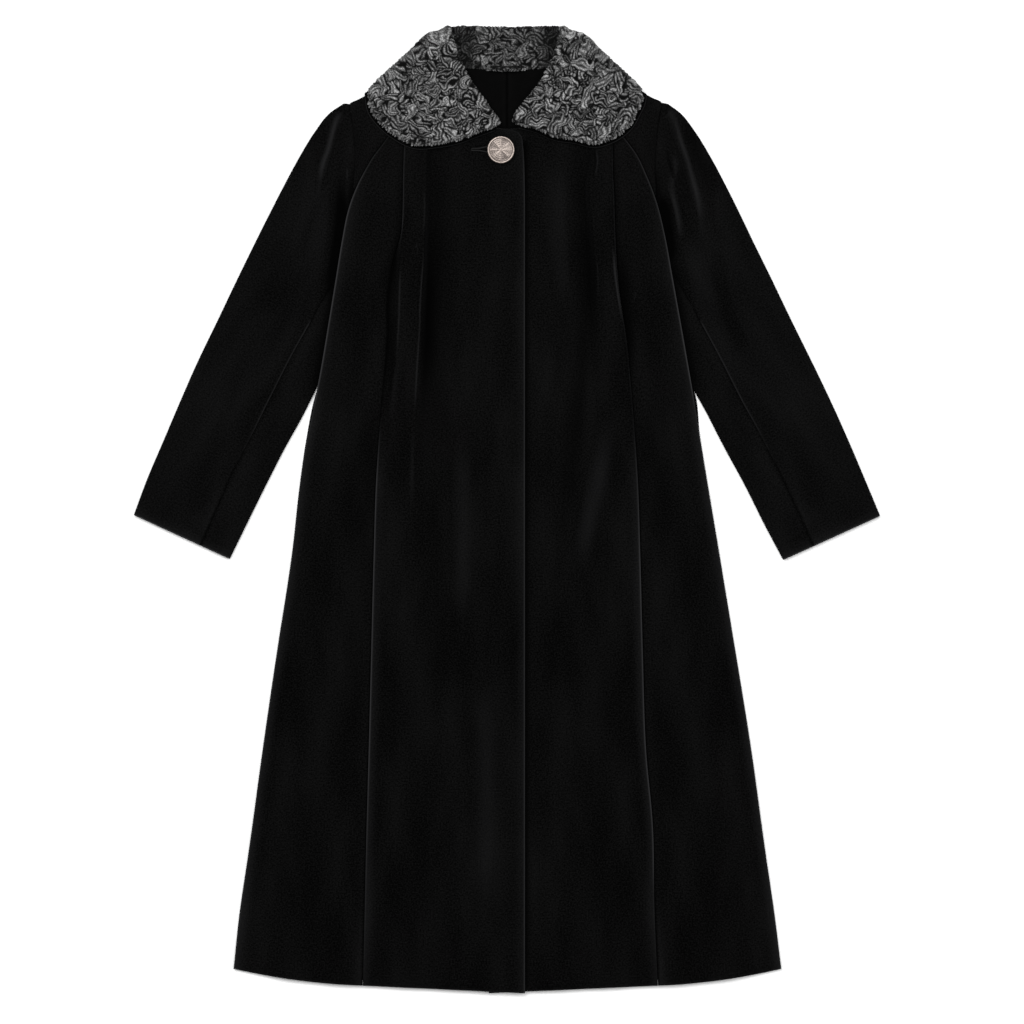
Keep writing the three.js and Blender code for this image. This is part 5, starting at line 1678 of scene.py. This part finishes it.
@dataclass(frozen=True)
class Closure:
    """The neck's button, turned from pearly cast stock, and the two lips of its buttonhole."""

    radius: float = 16.2
    thickness: float = 4.4
    rim: float = 1.3
    clear: float = 2.0
    sectors: int = 8
    levels: tuple[float, ...] = (0.18, -0.14, 0.2, -0.1, 0.04, 0.1, -0.2, 0.14)  # of each sector
    lip_width: float = 2.4
    lip_height: float = 1.15

    def slope(self) -> float:
        """How steeply the cloth rises towards the neck under the button."""
        x, y = (np.array([v]) for v in BUTTON_AT)
        return float(body_top(x, y + 5)[0] - body_top(x, y - 5)[0]) / 10

    def face(self, r: Array, turn: Array) -> Array:
        """Height of the face: a low dome cut by sectors that tip in turn, and a rayed middle."""
        share = np.clip(r / (self.radius - 2 * self.rim), 0, 1)
        sector = turn * self.sectors / (2 * math.pi)
        tip = np.abs(sector % 1 - 0.5) * 2
        level = np.array(self.levels)[np.floor(sector).astype(int) % self.sectors]
        rays = (0.24 * (tip - 0.5) + level) * smooth(share / 0.25)
        rays = rays * (1 - smooth((share - 0.93) / 0.07))
        fine = 0.05 * np.sin(turn * 40 + 9 * share) * smooth((share - 0.2) / 0.3)
        rings = 0.05 * np.cos(share * 34) * smooth((share - 0.12) / 0.2)
        boss = 0.25 * bell(share, 0.09)
        return self.thickness - 0.85 + 0.35 * (1 - share**2) + rays + fine + rings + boss

    def button(self) -> Piece:
        """Makes the button: a profile turned about its axis, with the carved face on top.

        Returns:
            The button's object, tilted with the cloth.
        """
        big, thick = self.radius, self.thickness
        turn = np.linspace(0, 2 * math.pi, 145)[None]
        inner = big - 1.75 * self.rim
        spots = np.concatenate([[0.02], np.linspace(0.35, inner, 36)])[:, None]
        face = np.stack([spots + 0 * turn, self.face(spots, turn)], -1)
        a = np.linspace(0, math.pi, 15)[:, None]
        ring = np.stack([
            big - self.rim * 0.86 - self.rim * 0.78 * np.cos(a) + 0 * turn,
            thick - 0.72 + 0.72 * np.sin(a) - 0.03 * (1 + np.sin(turn * 60)) * np.sin(a),
        ], -1)
        foot = -self.clear - LAP_LIFT + GAP
        side = [(big, thick * 0.6), (big - 0.15, thick * 0.4), (big * 0.95, thick * 0.22),
                (big * 0.86, thick * 0.08), (big * 0.72, 0.0), (2.6, -0.0), (1.3, -0.3),
                (1.0, -1.0), (1.0, foot), (0.02, foot)]
        knots, at = np.arange(len(side)), np.linspace(0, len(side) - 1, 28)
        below = [np.interp(at, knots, line)[:, None] + 0 * turn for line in zip(*side)]
        below = np.stack(below, -1)
        profile = np.concatenate([face, ring[1:], below[1:]])
        r, z = profile[..., 0], profile[..., 1]
        slope = self.slope()
        tilt = math.atan(slope)
        x, y = r * np.cos(turn), r * np.sin(turn)
        rest = float(body_top(*(np.array([v]) for v in BUTTON_AT))[0]) + self.clear
        points = np.stack([
            BUTTON_AT[0] + x,
            BUTTON_AT[1] - self.clear * slope + y * math.cos(tilt) - z * math.sin(tilt),
            rest + y * math.sin(tilt) + z * math.cos(tilt),
        ], -1)
        height = np.clip((z - thick + 1.0) / 1.2, 0, 1)
        return tube("button_pearl", points, {"carved": height})

    def lip_cut(self) -> Cut:
        """One lip's flat cut: the arch over its half ellipse, along the slit."""
        arch = math.pi * (self.lip_width / 2 + self.lip_height) / 2
        length = SLOT[1] - SLOT[0] + 2
        return Cut(arch, length, arch * length)

    def lip(self, above: int) -> Piece:
        """Makes one lip: half an ellipse of corded cloth that follows the slit and parts mid-way.

        Args:
            above: 1 for the upper lip, -1 for the lower.

        Returns:
            The lip's object.
        """
        x = np.linspace(SLOT[0] - 1, SLOT[1] + 1, 97)[:, None]
        across = np.linspace(0, 1, 21)[None]
        parted = smooth((x - SLOT[0] - 6) / 14)
        ends = np.sqrt(np.clip((x - SLOT[0] + 1) / 3.0, 0.02, 1))
        slit = (0.3 + 1.9 * parted) * ends
        y = BUTTON_AT[1] + above * (slit + self.lip_width * across * lerp(0.6, 1, ends))
        low = body_top(x + 0 * across, y) + 0.35
        cord = 0.12 * np.sin(x * 2 * math.pi / 1.4 + above * across * 2.5)
        crown = np.sin(math.pi * across) ** 0.6 * ends
        top = low + LEAST_CLOTH + (self.lip_height + cord * 0.7) * crown
        spread = x + 0 * across
        name = f"buttonhole_lip_{'upper' if above > 0 else 'lower'}"
        # Painted highlight along the lip's crown near the slit, and painted shade towards its outer
        # side.
        painted_shading = 0.15 + 0.8 * bell(across - 0.3, 0.3) + 0 * x
        return shell(name, np.stack([spread, y, top], -1), np.stack([spread, y, low], -1),
                     np.stack([spread, y], -1), marks={"painted_shading": painted_shading})


# ---- Finishes ----------------------------------------------------------------------------------


def linear(colour: str) -> tuple[float, float, float, float]:
    """Turns an sRGB hex colour into linear red, green, blue and 1.

    A channel at or below 0.04045 is divided by 12.92. Above, it is 0.055 more, over 1.055, to
    the power of 2.4.
    """
    channels = np.array([int(colour[i:i + 2], 16) for i in (1, 3, 5)]) / 255
    curve = np.where(channels <= 0.04045, channels / 12.92, ((channels + 0.055) / 1.055) ** 2.4)
    return (*(float(v) for v in curve), 1.0)


def add(tree: Tree, kind: str, inputs: dict | None = None,
        **options: object) -> bpy.types.Node:
    """Adds a node with its options, and fills its inputs with values or links.

    Args:
        tree: the material's nodes.
        kind: the node's type.
        inputs: a value or an output socket for each input, by name or number.
        options: the node's own settings.

    Returns:
        The new node.
    """
    node = tree.nodes.new(kind)
    for option, value in options.items():
        setattr(node, option, value)
    for key, value in (inputs or {}).items():
        socket = node.inputs[key]
        if isinstance(value, Socket):
            tree.links.new(value, socket)
        else:
            socket.default_value = value
    return node


def blank(name: str) -> tuple[bpy.types.Material, Tree]:
    """A new material of that name, and its emptied node tree."""
    material = bpy.data.materials.new(name)
    material.use_nodes = True
    material.node_tree.nodes.clear()
    return material, material.node_tree


def read_mark(tree: Tree, name: str) -> Socket:
    """Reads a value that the mesh keeps at each point."""
    return add(tree, "ShaderNodeAttribute", attribute_name=name).outputs["Fac"]


def noise_of(tree: Tree, place: Socket, size_mm: float,
             **inputs: float) -> Socket:
    """Noise of one size in mm."""
    inputs = {"Vector": place, "Scale": 1 / (size_mm * MM), **inputs}
    return add(tree, "ShaderNodeTexNoise", inputs).outputs["Fac"]


def maths(tree: Tree, operation: str, *values: object) -> Socket:
    """One operation on values or links."""
    return add(tree, "ShaderNodeMath", dict(enumerate(values)), operation=operation).outputs[0]


def ramp(tree: Tree, value: Socket, low: float,
         high: float) -> Socket:
    """A straight rise from 0 at the low value to 1 at the high one, held beyond them."""
    inputs = {"Value": value, "From Min": low, "From Max": high}
    return add(tree, "ShaderNodeMapRange", inputs).outputs[0]


def mix(tree: Tree, share: Socket,
        *colours: object) -> Socket:
    """Mixes two colours, each a hex colour or a link, by a share of the second."""
    one, other = (linear(c) if isinstance(c, str) else c for c in colours)
    return add(tree, "ShaderNodeMix", {0: share, 6: one, 7: other}, data_type="RGBA").outputs[2]


def end_tree(tree: Tree, inputs: dict,
             bump: tuple[Socket, float, float] | None = None) -> None:
    """Ends a material's nodes with its surface.

    Args:
        tree: the material's nodes.
        inputs: the surface's own inputs.
        bump: what lifts the surface, how strongly, and how far in mm.
    """
    if bump:
        height, strength, depth = bump
        lifted = add(tree, "ShaderNodeBump",
                     {"Height": height, "Strength": strength, "Distance": depth * MM})
        inputs = {**inputs, "Normal": lifted.outputs["Normal"]}
    surface = add(tree, "ShaderNodeBsdfPrincipled", inputs)
    add(tree, "ShaderNodeOutputMaterial", {"Surface": surface.outputs["BSDF"]})


@dataclass(frozen=True)
class Velvet:
    """Cotton velvet: woven, then cut to a short upright pile.

    Face on, the pile swallows the light and looks black with a fine mottle. A narrow grey line
    on edges and crests is a painted highlight, and the black in hollows and beside overlaps is
    painted shade, both mixed in by the painted shading mark.
    """

    name: str = "cotton_velvet"
    # Painted shade, where the painted shading mark is below one half.
    closed: str = "#010101"
    hollow: str = "#010101"
    tip: str = "#0e0e0e"
    # Painted highlight, where the painted shading mark is above one half.
    open: str = "#2b2b2c"
    mottle_mm: float = 1.9  # tufts are far finer; this is as fine as shows from above
    stroke_mm: float = 46.0  # where a hand has turned the pile
    roughness: float = 0.95
    specular: float = 0.015
    sheen: float = 0.03
    sheen_roughness: float = 0.32

    def make(self) -> bpy.types.Material:
        """Makes the material: mottle and strokes mix two blacks, and the mottle lifts the tufts."""
        material, tree = blank(self.name)
        cloth = add(tree, "ShaderNodeUVMap", uv_map="cloth").outputs["UV"]
        fine = noise_of(tree, cloth, self.mottle_mm, Detail=3.0, Roughness=0.6)
        long = add(tree, "ShaderNodeMapping", {"Vector": cloth, "Scale": (1.0, 0.3, 1.0)})
        strokes = noise_of(tree, long.outputs["Vector"], self.stroke_mm, Detail=2.0, Roughness=0.5)
        both = maths(tree, "MULTIPLY_ADD", strokes, 0.5, maths(tree, "MULTIPLY", fine, 1.3))
        flat = mix(tree, ramp(tree, both, 0.70, 1.17), self.hollow, self.tip)
        # The painted shading mark darkens the colour to painted shade below one half and lifts it
        # to a painted highlight above.
        painted_shading = read_mark(tree, "painted_shading")
        dark = mix(tree, ramp(tree, painted_shading, 0.0, 0.5), self.closed, flat)
        colour = mix(tree, ramp(tree, painted_shading, 0.5, 1.0), dark, self.open)
        end_tree(tree, {
            "Base Color": colour, "Roughness": self.roughness, "Specular IOR Level": self.specular,
            "Sheen Weight": self.sheen, "Sheen Roughness": self.sheen_roughness,
            "Sheen Tint": linear("#d8d8dc"),
        }, bump=(fine, 0.35, 0.5))
        return material


@dataclass(frozen=True)
class CurledLamb:
    """Curled lamb-like pile: knitted with a curled yarn and steamed.

    Its grey tips catch the light. Deep between the curls it is nearly black, partly the roots'
    own dark and partly painted shade.
    """

    name: str = "curled_lamb_pile"
    # Painted shade, where the painted shading mark is low.
    painted_shade_colour: str = "#050505"
    # The roots' own dark, and painted shade deep between the curls.
    root: str = "#040404"
    tip: str = "#a0a0a0"
    fibre_mm: float = 1.4
    roughness: float = 0.8
    specular: float = 0.04
    sheen: float = 0.02

    def make(self) -> bpy.types.Material:
        """Makes the material: its colour rises with the curl's own height, broken by fibres."""
        material, tree = blank(self.name)
        place = add(tree, "ShaderNodeTexCoord").outputs["Object"]
        fibre = noise_of(tree, place, self.fibre_mm, Detail=1.0)
        fuzz = maths(tree, "MULTIPLY_ADD", fibre, 1.7, 0.15)
        broken = maths(tree, "MULTIPLY", read_mark(tree, "curl"), fuzz)
        # Dark low in the curls and light at their tops: partly the hair's own dark roots, partly
        # painted shade of the hollows.
        share = maths(tree, "POWER", ramp(tree, broken, 0.16, 1.0), 1.85)
        light = mix(tree, share, self.root, self.tip)
        # Painted shade where the mark says, on the collar's stand and beside its rolls.
        colour = mix(tree, ramp(tree, read_mark(tree, "painted_shading"), 0.0, 0.5), self.painted_shade_colour, light)
        end_tree(tree, {
            "Base Color": colour, "Roughness": self.roughness, "Specular IOR Level": self.specular,
            "Sheen Weight": self.sheen, "Sheen Roughness": 0.5,
        }, bump=(fibre, 0.3, 0.3))
        return material


@dataclass(frozen=True)
class PlainCloth:
    """A woven cloth of one colour: satin for the lining, corded cloth for the buttonhole's lips."""

    name: str
    dark: str
    light: str
    thread_mm: float
    roughness: float
    specular: float

    def make(self) -> bpy.types.Material:
        """Makes the material: threads one way lift it, and a soft noise mixes two blacks."""
        material, tree = blank(self.name)
        cloth = add(tree, "ShaderNodeUVMap", uv_map="cloth").outputs["UV"]
        thread = add(tree, "ShaderNodeTexWave", {
            "Vector": cloth, "Scale": 1 / (self.thread_mm * MM * 2 * math.pi) * 2,
            "Distortion": 0.6, "Detail": 1.0,
        }, bands_direction="DIAGONAL").outputs["Fac"]
        cloud = add(tree, "ShaderNodeTexNoise", {"Vector": cloth, "Scale": 90.0, "Detail": 3.0})
        flat = mix(tree, cloud.outputs["Fac"], self.dark, self.light)
        # The painted shading mark takes the colour down towards black, as painted shade.
        colour = mix(tree, read_mark(tree, "painted_shading"), "#000000", flat)
        end_tree(tree, {
            "Base Color": colour, "Roughness": self.roughness, "Specular IOR Level": self.specular,
        }, bump=(thread, 0.2, 0.15))
        return material


@dataclass(frozen=True)
class PearlCast:
    """Cast resin with a pearly metallic powder, carved and rubbed back.

    The hollows of the carving stay grey-brown, and the raised lines and the rim shine pale.
    """

    name: str = "pearl_cast_resin"
    hollow: str = "#4c4440"
    raised: str = "#a3978f"
    speck_mm: float = 0.9
    roughness: float = 0.34
    metallic: float = 0.55

    def make(self) -> bpy.types.Material:
        """Makes the material: the carving and fine specks mix hollow and raised colours."""
        material, tree = blank(self.name)
        place = add(tree, "ShaderNodeTexCoord").outputs["Object"]
        speck = noise_of(tree, place, self.speck_mm, Detail=4.0, Roughness=0.65)
        mixed = maths(tree, "MULTIPLY_ADD", speck, 1.6, read_mark(tree, "carved"))
        end_tree(tree, {
            "Base Color": mix(tree, ramp(tree, mixed, 0.75, 1.75), self.hollow, self.raised),
            "Roughness": self.roughness, "Metallic": self.metallic,
        }, bump=(speck, 0.5, 0.35))
        return material


class Slot(Enum):
    """The record's material slots."""

    VELVET = "velvet"
    PILE = "curled_pile"
    UNDER_COLLAR = "under_collar"
    LINING = "lining"
    WELT = "welt"
    BUTTON = "button"


FINISHES = {
    Slot.VELVET: Velvet(),
    Slot.PILE: CurledLamb(),
    Slot.UNDER_COLLAR: Velvet(name="collar_velvet", tip="#0c0c0c"),
    Slot.LINING: PlainCloth("satin_lining", "#050505", "#0a0a0a", 0.5, 0.6, 0.008),
    Slot.WELT: PlainCloth("corded_cloth", "#141414", "#2c2c2c", 0.9, 0.8, 0.02),
    Slot.BUTTON: PearlCast(),
}


# ---- Sub-assemblies ----------------------------------------------------------------------------


@dataclass
class Wardrobe:
    """Keeps one material for each slot, and settles each finished piece on the frame."""

    materials: dict[Slot, bpy.types.Material] = field(default_factory=dict)

    def __post_init__(self) -> None:
        """Makes each slot's material once."""
        self.materials = {slot: finish.make() for slot, finish in FINISHES.items()}

    def settle(self, made: Piece, node: str, slot: Slot,
               cut: Cut | None = None) -> None:
        """Gives a piece its material and its body, hides its node, and reads its cut without
        keeping it.

        Args:
            made: the piece.
            node: the frame's node that it replaces.
            slot: the record's slot that it takes its finish from.
            cut: the cloth's flat cut, where the piece is cloth.
        """
        made.data.materials.append(self.materials[slot])
        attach(made, "root")
        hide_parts(node)
        if cut:
            flat, area = cut.metres()
        LOG.info("%s: %d faces for node %s", made.name, len(made.data.polygons), node)


@dataclass(frozen=True)
class Body:
    """The back's two halves, and each side's front, side front and yoke."""

    def build(self, wardrobe: Wardrobe) -> None:
        """Makes the body's panels from the floor up."""
        for p in (RIGHT, LEFT):
            label = p.side.label
            below = (f"back_{label}_velvet",)
            for panel, node, under in (
                (back_panel(p), "back", ("floor",)),
                (side_panel(p), "side_front", below),
                (yoke_panel(p), "yoke", below),
            ):
                wardrobe.settle(panel.build(), f"{node}_{label}", Slot.VELVET, panel.cut())
        for p, under in ((LEFT, ("back_left_velvet",)),
                         (RIGHT, ("back_right_velvet", "front_left_velvet"))):
            front = front_panel(p)
            cut = front.cut(lambda y, p=p: fold_cloth(p, y))
            wardrobe.settle(front.build(), f"front_{p.side.label}", Slot.VELVET, cut)


@dataclass(frozen=True)
class Sleeves:
    """Both sleeves, each of a top piece round the outer fold and an under piece round the inner."""

    under_from: float = 5.0

    def build(self, wardrobe: Wardrobe) -> None:
        """Makes each sleeve's two pieces."""
        for p in (RIGHT, LEFT):
            label = p.side.label
            top, under = SleevePiece(p, True, 0.0), SleevePiece(p, False, self.under_from)
            wardrobe.settle(top.build(), f"top_sleeve_{label}", Slot.VELVET, top.cut())
            wardrobe.settle(under.build(), f"under_sleeve_{label}", Slot.VELVET,
                            under.cut())


@dataclass(frozen=True)
class Collar:
    """The curled pile collar and its under collar, each of two lobes and a back part."""

    seed: int = 11

    def build(self, wardrobe: Wardrobe) -> CurlField:
        """Makes the collar's pieces, and returns their curls."""
        curls = CurlField(seed=self.seed)
        wardrobe.settle(back_collar_piece(False, None), "under_collar_back", Slot.UNDER_COLLAR,
                        back_collar_cut())
        wardrobe.settle(back_collar_piece(True, curls), "upper_collar_back", Slot.PILE,
                        back_collar_cut())
        for p in (RIGHT, LEFT):
            label = p.side.label
            wardrobe.settle(lobe_piece(p, False, None), f"under_collar_{label}", Slot.UNDER_COLLAR,
                            lobe_cut(p, False))
            wardrobe.settle(lobe_piece(p, True, curls), f"upper_collar_{label}", Slot.PILE,
                            lobe_cut(p, True))
        return curls


@dataclass(frozen=True)
class Stage:
    """A pale board floor, soft studio light and the camera straight above."""

    floor_size: float = 24.0
    below: float = 0.0006  # how far the floor lies under the coat
    camera_height: float = 6.0
    view_width: float = 1.2288
    centre: tuple[float, float] = (0.006, -0.0042)
    world_light: float = 0.40
    key_power: float = 108.0

    def floor(self) -> None:
        """Makes the floor: a sheet of points that stays level."""
        line = np.linspace(-self.floor_size / 2, self.floor_size / 2, 9)
        x, y = np.meshgrid(line, line)
        at = np.arange(81).reshape(9, 9)
        mesh = bpy.data.meshes.new("floor")
        points = np.stack([x, y, x * 0 - self.below], -1).reshape(-1, 3)
        mesh.from_pydata(points, [], quads_of(at).tolist())
        made = bpy.data.objects.new("floor", mesh)
        bpy.context.scene.collection.objects.link(made)
        material, tree = blank("painted_board")
        end_tree(tree, {
            "Base Color": linear("#f7f7f7"), "Roughness": 0.9, "Specular IOR Level": 0.1,
        })
        mesh.materials.append(material)

    def lights(self) -> None:
        """Makes the even sky of the studio and its soft boxes."""
        scene = bpy.context.scene
        world = bpy.data.worlds.new("studio")
        world.use_nodes = True
        world.node_tree.nodes.clear()
        sky = add(world.node_tree, "ShaderNodeBackground",
                  {"Color": (1, 1, 1, 1), "Strength": self.world_light})
        add(world.node_tree, "ShaderNodeOutputWorld", {"Surface": sky.outputs[0]})
        scene.world = world
        for name, place, size, power in (
            ("key_box", (-0.9, 1.1, 3.2), 2.2, self.key_power),
            ("fill_box", (1.4, 0.2, 3.0), 2.2, self.key_power * 0.5),
        ):
            lamp = bpy.data.lights.new(name, "AREA")
            lamp.shape, lamp.size, lamp.energy = "SQUARE", size, power
            made = bpy.data.objects.new(name, lamp)
            made.location = place
            aim = -np.array(place) / np.linalg.norm(place)
            heading = math.atan2(aim[1], aim[0]) - math.pi / 2
            made.rotation_euler = (math.acos(-aim[2]), 0.0, heading)
            scene.collection.objects.link(made)

    def camera(self) -> None:
        """Makes the camera, which looks straight down with the neck up."""
        scene = bpy.context.scene
        data = bpy.data.cameras.new("camera")
        data.sensor_width = 36.0
        data.lens = data.sensor_width * self.camera_height / self.view_width
        data.clip_end = 100.0
        made = bpy.data.objects.new("camera", data)
        made.location = (*self.centre, self.camera_height)
        scene.collection.objects.link(made)
        scene.camera = made

    def build(self) -> None:
        """Makes the floor, the lights and the camera."""
        self.floor()
        self.lights()
        self.camera()
        bpy.context.scene.view_settings.view_transform = "Standard"


def main() -> None:
    """Builds the stage, then the coat from the floor up."""
    logging.basicConfig(level=logging.INFO, format="%(name)s: %(message)s", stream=sys.stdout)
    Stage().build()
    wardrobe = Wardrobe()
    Body().build(wardrobe)
    Sleeves().build(wardrobe)
    curls = Collar().build(wardrobe)
    inside = NeckInside()
    wardrobe.settle(inside.lining(), "back_lining", Slot.LINING,
                    inside.lining_cut())
    wardrobe.settle(inside.loop(curls), "hanger_loop", Slot.PILE,
                    inside.loop_cut())
    closure = Closure()
    wardrobe.settle(closure.button(), "button", Slot.BUTTON)
    for above, node in ((1, "buttonhole_welt_upper"), (-1, "buttonhole_welt_lower")):
        wardrobe.settle(closure.lip(above), node, Slot.WELT,
                        closure.lip_cut())


if __name__ == "__main__":
    main()
